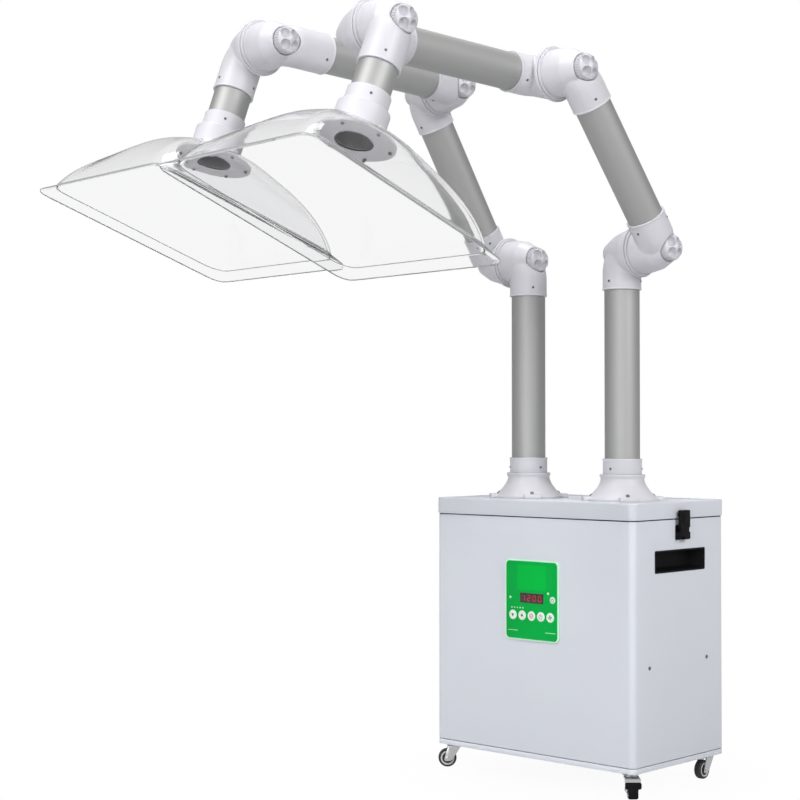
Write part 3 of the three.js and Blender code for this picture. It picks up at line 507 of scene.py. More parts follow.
def joined(pieces):
    """Joins several pieces into one object."""
    select_only(*pieces)
    bpy.ops.object.join()
    return bpy.context.object


def scattered(shape, places):
    """Copies a shape to several places and joins the copies."""
    return joined([put(copy_of(shape), place) for place in places])


def fit_copy(shape, place, name, body, finish, *nodes):
    """Fits a copy of a shape at a place."""
    return fit(put(copy_of(shape), place), name, body, finish, *nodes)


def discard(*shapes):
    """Throws away shapes that have been copied."""
    for shape in shapes:
        bpy.data.objects.remove(shape)


steel_dark = Finish("screw_steel", "castor_zinc")
steel_dark.give(base_color=(0.16, 0.16, 0.17, 1), metallic=0.9, roughness=0.3 + 0.2 * steel_dark.noise(600))


def screw(radius, head):
    """A small domed screw head with a six-sided socket, standing on the plane z = 0."""
    piece = turned_solid([(radius, -0.3 * head), (radius, 0.55 * head), (0.86 * radius, 0.9 * head),
                          (0.6 * radius, head)], 20)
    socket = turned_solid([(0.42 * radius, 0.3 * head), (0.42 * radius, 2 * head)], 6)
    return carve(piece, socket)


def facing(direction):
    """Turns +Z to a direction."""
    return Vector(direction).to_track_quat("Z", "Y").to_matrix().to_4x4()


side_screw = screw(SCREW_RADIUS, SCREW_HEAD)
screw_places = [move_by(side * body_high.x, y, z) @ facing((side, 0, 0))
                for side in (-1, 1) for y, z in SIDE_SCREWS]
fit(scattered(side_screw, screw_places), "side_screws", "cabinet", steel_dark)
discard(side_screw)

# Lid
# A flat folded tray of the same painted sheet that overhangs the body by 2 mm and carries both arms. A
# dark foam gasket lies between it and the body, and a keeper on each side takes the hook of the latch.
LID_CORNER = 0.016
LID_EDGE = 0.0026
LID_FOLD = 0.0005
LID_OVERHANG = 0.002
LID_REVEAL = 0.003
DUCT_RADIUS = 0.0405
GASKET_INSET = 0.0012
GASKET_WIDTH = 0.01
GASKET_GAP = 0.0002
GASKET_CUT = 0.01
KEEPER_EDGE = 0.0008
KEEPER_HALF_WIDTH = 0.012
KEEPER_BOTTOM = 0.512
KEEPER_TOP = 0.518
LID_FOLD_REACH = 2e-4
LEVEL = 0.01
DUCT_CUT = 0.1

joints = {joint["name"]: joint for joint in frame["joints"]}
lid_low, lid_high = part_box("lid")
lid_low.x = body_low.x - LID_OVERHANG
lid_low.z = body_high.z + LID_REVEAL
lid_high.x = body_high.x + LID_OVERHANG
keeper_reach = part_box("lid")[1].x
lid = block(lid_low, lid_high, LID_CORNER, LID_FOLD)
open_edit(lid)
pick_edges(lid, lambda middle, direction: abs(direction.z) < LEVEL
           and abs(middle.z - lid_high.z + LID_FOLD) < LID_FOLD_REACH)
bpy.ops.mesh.bevel(offset=LID_EDGE, segments=3, affect="EDGES")
pick_side(lid, 0, 0, -1)
bpy.ops.mesh.inset(thickness=SHEET)
push(0, 0, lid_high.z - lid_low.z - SHEET)
close_edit()
for side in ("left", "right"):
    post_x = joints[f"{side}_post_swivel"]["pos_m"][0]
    carve(lid, add(bpy.ops.mesh.primitive_cylinder_add, vertices=ROUND_SIDES, radius=DUCT_RADIUS,
                   depth=DUCT_CUT, location=(post_x, 0, lid_high.z)))
fit(lid, "lid_tray", "lid", cabinet_paint, "lid")

black_plastic = Finish("black_plastic", "black_plastic")
grain = black_plastic.noise(1400, 2)
black_plastic.give(base_color=black_plastic.mix(black_plastic.noise(30), (0.003, 0.003, 0.004, 1),
                                                (0.006, 0.006, 0.007, 1)),
                   roughness=0.5 + 0.15 * grain, specular_ior_level=0.1,
                   normal=black_plastic.bump(grain, 0.15, 0.0002))
keepers = []
for side in (-1, 1):
    ends = sorted((side * (lid_high.x - SHEET / 2), side * keeper_reach))
    keepers.append(block((ends[0], -KEEPER_HALF_WIDTH, KEEPER_BOTTOM),
                         (ends[1], KEEPER_HALF_WIDTH, KEEPER_TOP), 0.001, KEEPER_EDGE, Y_AXIS, 2))
fit(joined(keepers), "latch_keepers", "lid", black_plastic)

gasket_foam = Finish("gasket_foam", "black_plastic")
grain = gasket_foam.noise(1800, 3)
gasket_foam.give(base_color=gasket_foam.mix(grain, (0.010, 0.011, 0.015, 1), (0.022, 0.024, 0.030, 1)),
                 roughness=0.9, specular_ior_level=0.2, normal=gasket_foam.bump(grain, 0.4, 0.0004))
gasket_low = Vector((body_low.x + GASKET_INSET, body_low.y + GASKET_INSET, body_high.z + GASKET_GAP))
gasket_high = Vector((body_high.x - GASKET_INSET, body_high.y - GASKET_INSET, lid_low.z - GASKET_GAP))
gasket = block(gasket_low, gasket_high, BODY_CORNER - GASKET_INSET, 0.0005)
hollow = Vector((GASKET_WIDTH, GASKET_WIDTH, -GASKET_CUT))
carve(gasket, block(gasket_low + hollow, gasket_high - hollow, 0.003, edge=0))
fit(gasket, "lid_gasket", "cabinet", gasket_foam)

# Control panel
# A moulded plate with a printed green film that has a pale border and a brighter field. A dark display
# window with red digits, status lights, five round keys and a small power key are let into it.
PANEL_CORNER = 0.0115
PANEL_BORDER = 0.0027
FILM_GREEN = (0.0, 0.41, 0.06, 1)
FILM_SIDE_GREEN = (0.0, 0.37, 0.055, 1)
FILM_BRIGHT_GREEN = (0.0, 0.48, 0.055, 1)
FILM_MINT = (0.58, 0.90, 0.70, 1)
FIELD_LOW = (-0.031, 0.354)
FIELD_HIGH = (0.046, 0.406)
DIVIDER_Z = 0.267
DIVIDER_SPANS = ((-0.056, -0.030), (0.044, 0.070))
DIVIDER_HALF = 0.0005
DISPLAY_LOW = (-0.024, 0.326)
DISPLAY_HIGH = (0.039, 0.347)
DISPLAY_PROUD = 0.0005
DISPLAY_SINK = 0.001
DIGITS = "1200"
DIGIT_PITCH = 0.0145
DIGIT_WIDTH = 0.0068
DIGIT_HEIGHT = 0.0120
STROKE = 0.0013
STROKE_TRIM = 0.6
STROKE_RISE = 0.0002
FILM_EDGE = 0.0006
SIDE_FADE = 2.5
LIGHT_PLACES = ((-0.050, 0.336, 0.0026), (0.051, 0.349, 0.0026)) + tuple(
    (-0.046 + 0.0075 * i, 0.315, 0.0015) for i in range(5))

panel_low, panel_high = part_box("control_panel")
panel_middle = (panel_low + panel_high) / 2
panel_half = (panel_high - panel_low) / 2
panel_film = Finish("panel_film", "panel_overlay")
x, y, z = panel_film.axes()


def within(value, low, high):
    """1 where a value lies between two limits, else 0."""
    return (value > low) * (value < high)


beside = abs(x - panel_middle.x)
above = abs(z - panel_middle.z)
corner_x = (beside - (panel_half.x - PANEL_CORNER)).or_more(0)
corner_z = (above - (panel_half.z - PANEL_CORNER)).or_more(0)
edge_distance = PANEL_CORNER - (corner_x * corner_x + corner_z * corner_z) ** 0.5
border = edge_distance < PANEL_BORDER
field = within(x, FIELD_LOW[0], FIELD_HIGH[0]) * within(z, FIELD_LOW[1], FIELD_HIGH[1])
line = within(z, DIVIDER_Z - DIVIDER_HALF, DIVIDER_Z + DIVIDER_HALF)
line = line * sum(within(x, low, high) for low, high in DIVIDER_SPANS)
green = panel_film.mix((beside / panel_half.x) ** SIDE_FADE, FILM_GREEN, FILM_SIDE_GREEN)
green = panel_film.mix(field, green, FILM_BRIGHT_GREEN)
printed = panel_film.mix(border.or_more(line), green, FILM_MINT)
grain = panel_film.noise(1100, 2)
panel_film.give(base_color=printed, roughness=0.42 + 0.12 * grain, specular_ior_level=0.12,
                normal=panel_film.bump(grain, 0.06, 0.0002))
plate = block(panel_low, panel_high, PANEL_CORNER, FILM_EDGE, Y_AXIS)
fit(plate, "panel_plate", "cabinet", panel_film, "control_panel")

display_black = Finish("display_window", "panel_overlay")
display_black.give(base_color=display_black.mix(display_black.noise(200), (0.040, 0.026, 0.028, 1),
                                                (0.055, 0.036, 0.038, 1)),
                   roughness=0.12 + 0.1 * display_black.noise(60))
window = block((DISPLAY_LOW[0], panel_low.y - DISPLAY_PROUD, DISPLAY_LOW[1]),
               (DISPLAY_HIGH[0], panel_low.y + DISPLAY_SINK, DISPLAY_HIGH[1]), 0.0012, 0.0003, Y_AXIS)
fit(window, "display_window", "cabinet", display_black)

digit_red = Finish("display_digits", "panel_overlay")
glimmer = digit_red.mix(digit_red.noise(900), (0.42, 0.010, 0.014, 1), (0.58, 0.022, 0.024, 1))
digit_red.give(base_color=glimmer, roughness=0.4, emission_color=glimmer, emission_strength=0.5)
STROKES = {"0": "abcdef", "1": "bc", "2": "abged"}
half_width, half_height = DIGIT_WIDTH / 2, DIGIT_HEIGHT / 2
STROKE_ENDS = {
    "a": ((-half_width, half_height), (half_width, half_height)),
    "b": ((half_width, 0), (half_width, half_height)),
    "c": ((half_width, -half_height), (half_width, 0)),
    "d": ((-half_width, -half_height), (half_width, -half_height)),
    "e": ((-half_width, -half_height), (-half_width, 0)),
    "f": ((-half_width, 0), (-half_width, half_height)),
    "g": ((-half_width, 0), (half_width, 0)),
}
display_middle = ((DISPLAY_LOW[0] + DISPLAY_HIGH[0]) / 2, (DISPLAY_LOW[1] + DISPLAY_HIGH[1]) / 2)
strokes = []
for i, digit in enumerate(DIGITS):
    digit_x = display_middle[0] + (i - (len(DIGITS) - 1) / 2) * DIGIT_PITCH
    for (x0, z0), (x1, z1) in (STROKE_ENDS[name] for name in STROKES[digit]):
        front = panel_low.y - DISPLAY_PROUD
        grow_x = STROKE / 2 if x0 == x1 else -STROKE_TRIM * STROKE
        grow_z = STROKE / 2 if z0 == z1 else -STROKE_TRIM * STROKE
        strokes.append(block((digit_x + x0 - grow_x, front - STROKE_RISE, display_middle[1] + z0 - grow_z),
                             (digit_x + x1 + grow_x, front + STROKE_RISE, display_middle[1] + z1 + grow_z),
                             0.0004, 0, Y_AXIS, 2))
fit(joined(strokes), "display_digits", "cabinet", digit_red)

FRONT_FACING = facing((0, -1, 0))
light_mint = Finish("status_lights", "key_caps")
light_mint.give(base_color=light_mint.mix(light_mint.noise(500), (0.52, 0.85, 0.62, 1),
                                          (0.66, 0.92, 0.74, 1)), roughness=0.25)
lights = []
for light_x, light_z, radius in LIGHT_PLACES:
    outline = [(radius, -0.001), (radius, 0.0003), (0.8 * radius, 0.0006), (0.4 * radius, 0.0008)]
    lights.append(put(turned_solid(outline, 24), move_by(light_x, panel_low.y, light_z) @ FRONT_FACING))
fit(joined(lights), "status_lights", "cabinet", light_mint)

# Keys
# Round rubber-domed push keys, mint white, that travel half a millimetre. Each carries a plain printed
# sign: down, up, a ring, a clock face and a fan wheel, and the small one a broken ring.
ICON_RISE = 0.00012
ARROW_SIZE = 0.0042
FAN_BLADE = 0.0016
FAN_BLADE_STRETCH = (1.35, 0.8, 1)
FAN_BLADE_PLACE = (0.0029, 0.0006, 0)
key_white = Finish("key_caps", "key_caps")
grain = key_white.noise(1500, 2)
key_white.give(base_color=key_white.mix(key_white.noise(40), (0.70, 0.82, 0.72, 1), (0.78, 0.87, 0.79, 1)),
               roughness=0.32 + 0.12 * grain, normal=key_white.bump(grain, 0.08, 0.0002))
icon_ink = Finish("key_icons_dark", "key_caps")
icon_ink.give(base_color=icon_ink.mix(icon_ink.noise(800), (0.02, 0.10, 0.05, 1), (0.03, 0.13, 0.07, 1)),
              roughness=0.5)
icon_red = Finish("key_icons_red", "key_caps")
icon_red.give(base_color=icon_red.mix(icon_red.noise(800), (0.55, 0.03, 0.03, 1), (0.62, 0.05, 0.04, 1)),
              roughness=0.5)


def ink_ring(outer, inner, sides=40):
    return turned([(inner, -ICON_RISE), (outer, -ICON_RISE), (outer, ICON_RISE), (inner, ICON_RISE)], sides)


def ink_bar(x0, y0, x1, y1):
    return block((x0, y0, -ICON_RISE), (x1, y1, ICON_RISE), 0.0002, 0, Z_AXIS, 2)


def ink_disc(radius, sides):
    return turned_solid([(radius, -ICON_RISE), (radius, ICON_RISE)], sides)


def triangle_icon(turn):
    return put(ink_disc(ARROW_SIZE, 3), turn_by("Z", turn))


def ring_icon():
    blades = [put(ink_bar(0.0010, -0.0006, 0.0030, 0.0006), turn_by("Z", angle)) for angle in (90, 210, 330)]
    return joined([ink_ring(0.0050, 0.0039)] + blades)


def clock_icon():
    return joined([ink_ring(0.0048, 0.0040), ink_bar(-0.0004, -0.0002, 0.0004, 0.0030),
                   ink_bar(-0.0004, -0.0004, 0.0024, 0.0004)])


def fan_icon():
    blades = []
    for angle in range(0, 360, 90):
        blade = ink_disc(FAN_BLADE, 16)
        select_only(blade)
        blade.scale = FAN_BLADE_STRETCH
        keep_place()
        blades.append(put(blade, turn_by("Z", angle) @ move_by(*FAN_BLADE_PLACE)))
    return joined(blades)


def power_icon():
    ring = ink_ring(0.0038, 0.0030)
    carve(ring, block((-0.0012, 0.001, -0.001), (0.0012, 0.006, 0.001), edge=0))
    return joined([ring, ink_bar(-0.0004, 0.0008, 0.0004, 0.0042)])


key_icons = [("key_1", "function_key_1", lambda: triangle_icon(180), icon_ink),
             ("key_2", "function_key_2", lambda: triangle_icon(0), icon_ink),
             ("key_3", "function_key_3", ring_icon, icon_red),
             ("key_4", "function_key_4", clock_icon, icon_ink),
             ("key_5", "function_key_5", fan_icon, icon_ink),
             ("key_power", "power_key", power_icon, icon_ink)]
for body, node, make_icon, ink in key_icons:
    key_low, key_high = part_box(node)
    key_middle = (key_low + key_high) / 2
    radius = (key_high.x - key_low.x) / 2
    rise = panel_low.y - key_low.y
    place = move_by(key_middle.x, panel_low.y, key_middle.z) @ FRONT_FACING
    cap = turned_solid([(radius, panel_low.y - key_high.y), (radius, 0.45 * rise),
                        (0.965 * radius, 0.8 * rise), (0.9 * radius, 0.95 * rise), (0.5 * radius, rise)], 48)
    fit(put(cap, place), f"{node}_cap", body, key_white, node)
    fit(put(make_icon(), place @ move_by(0, 0, rise)), f"{node}_sign", body, ink)

# Handles
# A black moulded cup is let into each side as a carrying handle: a thin lip lies on the sheet, and the
# walls of the cup slope in to its back.
HANDLE_LIP = 0.0012
HANDLE_INSET = 0.0034
HANDLE_CORNER = 0.003
HANDLE_WALL = 0.0018
HANDLE_PROUD = 0.0009
HANDLE_EDGE = 0.0004
HANDLE_DRAFT = (1, 0.90, 0.74)
SHEET_GAP = 0.0002
cup_low, cup_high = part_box("handle_right")
lip_back = body_high.x + SHEET_GAP
cup_low += Vector((0, HANDLE_INSET, HANDLE_INSET))
cup_high = Vector((lip_back + HANDLE_PROUD, cup_high.y - HANDLE_INSET, cup_high.z - HANDLE_INSET))
cup = block((lip_back, cup_low.y, cup_low.z), cup_high, HANDLE_CORNER, HANDLE_EDGE, X_AXIS, 4)
open_edit(cup)
pick_side(cup, -1, 0, 0)
bpy.ops.mesh.inset(thickness=HANDLE_LIP)
push(cup_low.x - lip_back, 0, 0)
pick_faces(cup, lambda middle, normal: normal.x > FLAT and middle.x > cup_high.x - TOUCHING)
bpy.ops.mesh.inset(thickness=HANDLE_LIP + HANDLE_WALL)
push(cup_low.x + HANDLE_WALL - cup_high.x, 0, 0)
bpy.ops.transform.resize(value=HANDLE_DRAFT, center_override=(cup_low.x, 0, (cup_low.z + cup_high.z) / 2))
close_edit()
HALF_TURN = turn_by("Z", 180)
fit_copy(cup, HALF_TURN, "handle_cup_left", "cabinet", black_plastic, "handle_left")
fit(cup, "handle_cup_right", "cabinet", black_plastic, "handle_right")

# Latches
# A draw latch on each side holds the lid: a black lever with a hook, hung on a pin between two ears of a
# small base that is fixed to the body. Its lower end is the finger grip.
LATCH_HALF = 0.018
LATCH_BASE = ((-0.0178, 0.463), (0.0178, 0.494))
LATCH_BASE_PLATE = 0.0022
LATCH_BASE_CORNER = 0.003
LATCH_BASE_EDGE = 0.0006
LATCH_EAR_INNER = 0.0149
LATCH_EAR = 0.0030
LATCH_EAR_TOP = 0.480
LATCH_EDGE = 0.0012
LATCH_GRIP_TOP = 0.488
LATCH_GRIP_HALF = 0.0145
LATCH_GRIP_LAP = 0.004
LATCH_NOTCH_END = -0.003
LATCH_NOTCH_HEIGHT = 0.006
LATCH_PIN_RADIUS = 0.0022
LATCH_PIN_LAP = 0.002
LATCH_PLATE = 0.0062
HOOK_BOTTOM = 0.5212
HOOK_HALF = 0.011
HOOK_LAP = 0.002
THUMB_RIB = ((-0.009, 0.499), (0.009, 0.517))
THUMB_RIB_SINK = 0.001
THUMB_RIB_RISE = 0.0011
NOTCH_REACH = 0.01
lever_low, lever_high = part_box("latch_lever_right")
ear_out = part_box("cabinet_body")[1].x
pivot = Vector(joints["latch_right_open"]["pos_m"])
lever_back = lever_high.x - LATCH_PLATE
lever = block((lever_back, -LATCH_HALF, LATCH_GRIP_TOP), (lever_high.x, LATCH_HALF, lever_high.z),
              0.0025, LATCH_EDGE, X_AXIS, 4)
weld(lever, block((lever_back, -LATCH_GRIP_HALF, lever_low.z),
                  (lever_high.x, LATCH_GRIP_HALF, LATCH_GRIP_TOP + LATCH_GRIP_LAP),
                  0.002, LATCH_EDGE, X_AXIS, 4))
carve(lever, block((lever_back - NOTCH_REACH, -LATCH_GRIP_HALF - NOTCH_REACH, lever_low.z - NOTCH_REACH),
                   (lever_high.x + NOTCH_REACH, LATCH_NOTCH_END, lever_low.z + LATCH_NOTCH_HEIGHT),
                   0.001, 0, X_AXIS, 2))
weld(lever, block((lever_low.x, -HOOK_HALF, HOOK_BOTTOM), (lever_back + HOOK_LAP, HOOK_HALF, lever_high.z),
                  0.0006, 0.0004, Y_AXIS, 2))
weld(lever, block((lever_high.x - THUMB_RIB_SINK, *THUMB_RIB[0]),
                  (lever_high.x + THUMB_RIB_RISE, *THUMB_RIB[1]), 0.003, 0.0008, X_AXIS, 4))
base_back = body_high.x + SHEET_GAP
base = block((base_back, *LATCH_BASE[0]), (body_high.x + LATCH_BASE_PLATE, *LATCH_BASE[1]),
             LATCH_BASE_CORNER, LATCH_BASE_EDGE, X_AXIS, 4)
for end in (-1, 1):
    ear_ends = sorted((end * LATCH_EAR_INNER, end * (LATCH_EAR_INNER + LATCH_EAR)))
    weld(base, block((base_back, ear_ends[0], lever_low.z), (ear_out, ear_ends[1], LATCH_EAR_TOP),
                     LATCH_BASE_CORNER, LATCH_BASE_EDGE, Y_AXIS, 4))
pin_half = LATCH_EAR_INNER + LATCH_PIN_LAP
pin = turned_solid([(LATCH_PIN_RADIUS, -pin_half), (LATCH_PIN_RADIUS, pin_half)], 20)
weld(base, put(pin, Matrix.Translation(pivot) @ turn_by("X", 90)))
for name, turn in (("left", HALF_TURN), ("right", Matrix.Identity(4))):
    fit_copy(lever, turn, f"latch_plate_{name}", f"latch_{name}", black_plastic, f"latch_lever_{name}")
    fit_copy(base, turn, f"latch_base_{name}", "cabinet", black_plastic)
discard(lever, base)

# Rear panel
# A painted cover plate screwed over the back of the fan: seven slots let the cleaned air out, and a
# three-pin mains inlet of black plastic is set into it.
REAR_CORNER = 0.006
SLOT_SPAN = (0.024, 0.116)
SLOT_COUNT = 7
SLOT_HEIGHT = 0.006
SLOT_PITCH = 0.014
SLOT_CORNER = 0.0028
INLET_MIDDLE_X = -0.110
INLET_HALF = (0.025, 0.015)
INLET_WALL = 0.003
INLET_PINS = ((-0.007, -0.002), (0.007, -0.002), (0, 0.004))
INLET_FLOOR = 0.004
INLET_PROUD = 0.0008
PIN_LOW = Vector((0.001, 0.001, 0.002))
PIN_HIGH = Vector((0.001, 0.014, 0.002))
REAR_EDGE = 0.0007
REAR_CUT = 0.01
REAR_SCREW_INSET = 0.009
REAR_SCREW = (0.0036, 0.0018)
rear_low, rear_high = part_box("rear_panel")
rear_middle_z = (rear_low.z + rear_high.z) / 2
cover = block((rear_low.x, rear_high.y - SHEET, rear_low.z), rear_high, REAR_CORNER, REAR_EDGE, Y_AXIS)
for i in range(SLOT_COUNT):
    slot_z = rear_middle_z + (i - (SLOT_COUNT - 1) / 2) * SLOT_PITCH
    carve(cover, block((SLOT_SPAN[0], rear_high.y - REAR_CUT, slot_z - SLOT_HEIGHT / 2),
                       (SLOT_SPAN[1], rear_high.y + REAR_CUT, slot_z + SLOT_HEIGHT / 2),
                       SLOT_CORNER, 0, Y_AXIS, 6))
inlet_low = Vector((INLET_MIDDLE_X - INLET_HALF[0], rear_low.y, rear_middle_z - INLET_HALF[1]))
inlet_high = Vector((INLET_MIDDLE_X + INLET_HALF[0], rear_high.y, rear_middle_z + INLET_HALF[1]))
inset = Vector((INLET_WALL / 2, -REAR_CUT, INLET_WALL / 2))
carve(cover, block(inlet_low + inset, inlet_high - inset, edge=0))
fit(cover, "rear_cover", "cabinet", cabinet_paint, "rear_panel")
socket = block(inlet_low, inlet_high + Vector((0, INLET_PROUD, 0)), 0.004, 0.0005, Y_AXIS, 4)
open_edit(socket)
pick_side(socket, 0, 1, 0)
bpy.ops.mesh.inset(thickness=INLET_WALL)
push(0, INLET_FLOOR + inlet_low.y - inlet_high.y, 0)
close_edit()
pins = [socket]
for pin_x, pin_z in INLET_PINS:
    middle = Vector((INLET_MIDDLE_X + pin_x, inlet_low.y + INLET_FLOOR, rear_middle_z + pin_z))
    pins.append(block(middle - PIN_LOW, middle + PIN_HIGH, 0.0004, 0.0003, Y_AXIS, 2))
fit(joined(pins), "mains_inlet", "cabinet", black_plastic)
rear_screw = screw(*REAR_SCREW)
screw_places = []
rear_middle_x = (rear_low.x + rear_high.x) / 2
for screw_x in (rear_low.x + REAR_SCREW_INSET, rear_middle_x, rear_high.x - REAR_SCREW_INSET):
    for screw_z in (rear_low.z + REAR_SCREW_INSET, rear_high.z - REAR_SCREW_INSET):
        screw_places.append(move_by(screw_x, rear_high.y, screw_z) @ facing((0, 1, 0)))
fit(scattered(rear_screw, screw_places), "rear_screws", "cabinet", steel_dark)
discard(rear_screw)

# Fan and filter
# Hidden behind the sheet: a steel fan scroll with its motor, a black fan wheel, and a filter cartridge
# with a stiff frame and a fleece folded into narrow pleats. The lid lifts off to change the cartridge.
FILTER_FRAME = 0.006
FILTER_RECESS = 0.05
PLEAT_COUNT = 34
PLEAT_DEPTH = 0.034
PLEAT_SHEET = 0.0012
PLEAT_GAP = 0.001
PLEAT_TOP = 0.006
FILTER_CORNER = 0.003
FILTER_EDGE = 0.0012
fan_steel = Finish("fan_steel", "fan_steel")
spangle = fan_steel.noise(260, 4)
fan_steel.give(base_color=fan_steel.mix(spangle, (0.08, 0.085, 0.09, 1), (0.13, 0.135, 0.14, 1)),
               metallic=0.3, roughness=0.4 + 0.2 * spangle)
frame["nodes"]["fan_housing"].material_slots[0].material = fan_steel.material
frame["nodes"]["fan_impeller"].material_slots[0].material = black_plastic.material

fleece = Finish("filter_fleece", "filter_media")
fibre = fleece.noise(1600, 5)
fleece.give(base_color=fleece.mix(fibre, (0.60, 0.59, 0.54, 1), (0.78, 0.77, 0.72, 1)), roughness=0.95,
            normal=fleece.bump(fibre, 0.6, 0.0006))
filter_low, filter_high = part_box("filter_cartridge")
box_frame = block(filter_low, filter_high, FILTER_CORNER, FILTER_EDGE, Z_AXIS, 3)
open_edit(box_frame)
pick_side(box_frame, 0, 0, 1)
bpy.ops.mesh.inset(thickness=FILTER_FRAME)
push(0, 0, -FILTER_RECESS)
close_edit()
fit(box_frame, "filter_frame", "cabinet", fleece, "filter_cartridge")
filter_middle = (filter_low + filter_high) / 2
pleat_margin = 2 * FILTER_FRAME + PLEAT_GAP
pleat_size = filter_high - filter_low - Vector((pleat_margin, pleat_margin, 0))
pleats = add(bpy.ops.mesh.primitive_grid_add, x_subdivisions=2 * PLEAT_COUNT, y_subdivisions=1, size=1)
pleats.scale = (pleat_size.x, pleat_size.y, 1)
pleats.location = (filter_middle.x, filter_middle.y, filter_high.z - PLEAT_TOP)
keep_place()
pleat_step = pleat_size.x / (2 * PLEAT_COUNT)
open_edit(pleats)
mesh = bmesh.from_edit_mesh(pleats.data)
for corner in mesh.verts:
    corner.select_set(round((corner.co.x - filter_low.x - FILTER_FRAME) / pleat_step) % 2 == 1)
mesh.select_flush_mode()
bmesh.update_edit_mesh(pleats.data)
bpy.ops.transform.translate(value=(0, 0, -PLEAT_DEPTH))
close_edit()
modify(pleats, "SOLIDIFY", thickness=PLEAT_SHEET, offset=-1)
fit(pleats, "filter_pleats", "cabinet", fleece)

# Castors
# Four small swivel castors: a zinc-plated plate and fork, a black wheel with a pale ring in each side, and
# a bolt through the axle. Two of them have a foot brake, a black pedal on a zinc-plated arm.
BRAKED_CASTORS = ("front_right", "rear_left")
CASTOR_PLATE = ((-0.021, -0.019, -0.0016), (0.021, 0.019, -0.0001))
CASTOR_PLATE_CORNER = 0.004
CASTOR_PLATE_EDGE = 0.0004
HEAD_RADIUS = 0.017
HEAD_BOTTOM = -0.0062
CROWN_BOTTOM = -0.0082
CHEEK_INNER = 0.0090
CHEEK_OUTER = 0.0114
CHEEK_FOOT = 0.0066
CHEEK_TAPER = 0.62
CHEEK_SHIFT = 0.001
CHEEK_ROUND = 0.006
CROWN_SPAN = (-0.0150, 0.0130)
CROWN_LAP = 0.0006
FORK_EDGE = 0.0005
AXLE_RADIUS = 0.003
BOLT_RADIUS = 0.0040
BOLT_HEAD = 0.0020
BOLT_TOP = 0.0026
BRAKE_ARM = ((-0.0422, -0.0150, -0.0098), (-0.0040, 0.0150, -0.0066))
BRAKE_ARM_SHEET = 0.0018
BRAKE_ARM_DROP = -0.0150
PEDAL_PLATES = (((-0.0427, -0.0165, -0.0270), (-0.0396, 0.0165, -0.0130)),
                ((-0.0427, -0.0100, -0.0465), (-0.0396, 0.0100, -0.0220)))
PEDAL_CORNER = 0.004
PEDAL_EDGE = 0.0007
PEDAL_RIBS = 3
PEDAL_RIB = ((-0.0437, -0.0065), (-0.0415, 0.0065))
PEDAL_RIB_START = 0.004
PEDAL_RIB_PITCH = 0.0045
PEDAL_RIB_HEIGHT = 0.0018
RIM_INNER = 0.0118
RIM_OUTER = 0.0150
RIM_EDGE = 0.0006
RIM_HALF = 0.0077
RIM_EASED_HALF = 0.0070
DUST_RING = (0.0158, -0.0018, -0.0036)
DUST_RING_FLARE = 0.0010
DUST_RING_SLOPE = 0.0008
castor_zinc = Finish("castor_zinc", "castor_zinc")
spangle = castor_zinc.noise(320, 4)
castor_zinc.give(base_color=castor_zinc.mix(spangle, (0.46, 0.47, 0.48, 1), (0.64, 0.65, 0.66, 1)),
                 metallic=1.0, roughness=0.26 + 0.22 * spangle)
tyre_rubber = Finish("castor_tyre", "castor_tyre")
dust = tyre_rubber.noise(90, 5)
tyre_rubber.give(base_color=tyre_rubber.mix(dust, (0.012, 0.012, 0.013, 1), (0.045, 0.045, 0.046, 1)),
                 roughness=0.6 + 0.25 * dust, normal=tyre_rubber.bump(tyre_rubber.noise(1500), 0.2, 0.0002))
hub_grey = Finish("castor_hub", "castor_tyre")
hub_grey.give(base_color=hub_grey.mix(hub_grey.noise(120), (0.50, 0.51, 0.52, 1), (0.62, 0.63, 0.64, 1)),
              roughness=0.4 + 0.15 * hub_grey.noise(700))

wheel_centre = Vector(joints["wheel_front_right_roll"]["pos_m"])
swivel_centre = Vector(joints["castor_front_right_swivel"]["pos_m"])
trail = (wheel_centre.xy - swivel_centre.xy).length
axle_z = wheel_centre.z
wheel_low, wheel_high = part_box("castor_wheel_front_right")
wheel_radius = (wheel_high.z - wheel_low.z) / 2
ALONG_AXLE = move_by(-trail, 0, axle_z) @ turn_by("X", 90)

fork = turned_solid([(HEAD_RADIUS - 0.004, DUST_RING[2] + 0.0004), (HEAD_RADIUS, -0.0038),
                     (HEAD_RADIUS, -0.0048), (HEAD_RADIUS - 0.003, HEAD_BOTTOM)], 40)
weld(fork, block((CROWN_SPAN[0], -CHEEK_OUTER, CROWN_BOTTOM),
                 (CROWN_SPAN[1], CHEEK_OUTER, HEAD_BOTTOM + CROWN_LAP), 0.002, FORK_EDGE, Z_AXIS, 3))
for side in (-1, 1):
    cheek_ends = sorted((side * CHEEK_INNER, side * CHEEK_OUTER))
    cheek = block((CROWN_SPAN[0], cheek_ends[0], axle_z - CHEEK_FOOT),
                  (CROWN_SPAN[1], cheek_ends[1], HEAD_BOTTOM), edge=0)
    open_edit(cheek)
    pick_side(cheek, 0, 0, -1)
    bpy.ops.transform.resize(value=(CHEEK_TAPER, 1, 1), center_override=(-CHEEK_SHIFT, 0, axle_z))
    bpy.ops.transform.translate(value=(CHEEK_SHIFT - trail, 0, 0))
    pick_edges(cheek, lambda middle, direction: abs(direction.y) > FLAT and middle.z < axle_z)
    bpy.ops.mesh.bevel(offset=CHEEK_ROUND, segments=6, affect="EDGES")
    close_edit()
    soften(cheek, FORK_EDGE)
    weld(fork, cheek)
axle = turned_solid([(AXLE_RADIUS, -CHEEK_OUTER), (AXLE_RADIUS, CHEEK_OUTER)], 20)
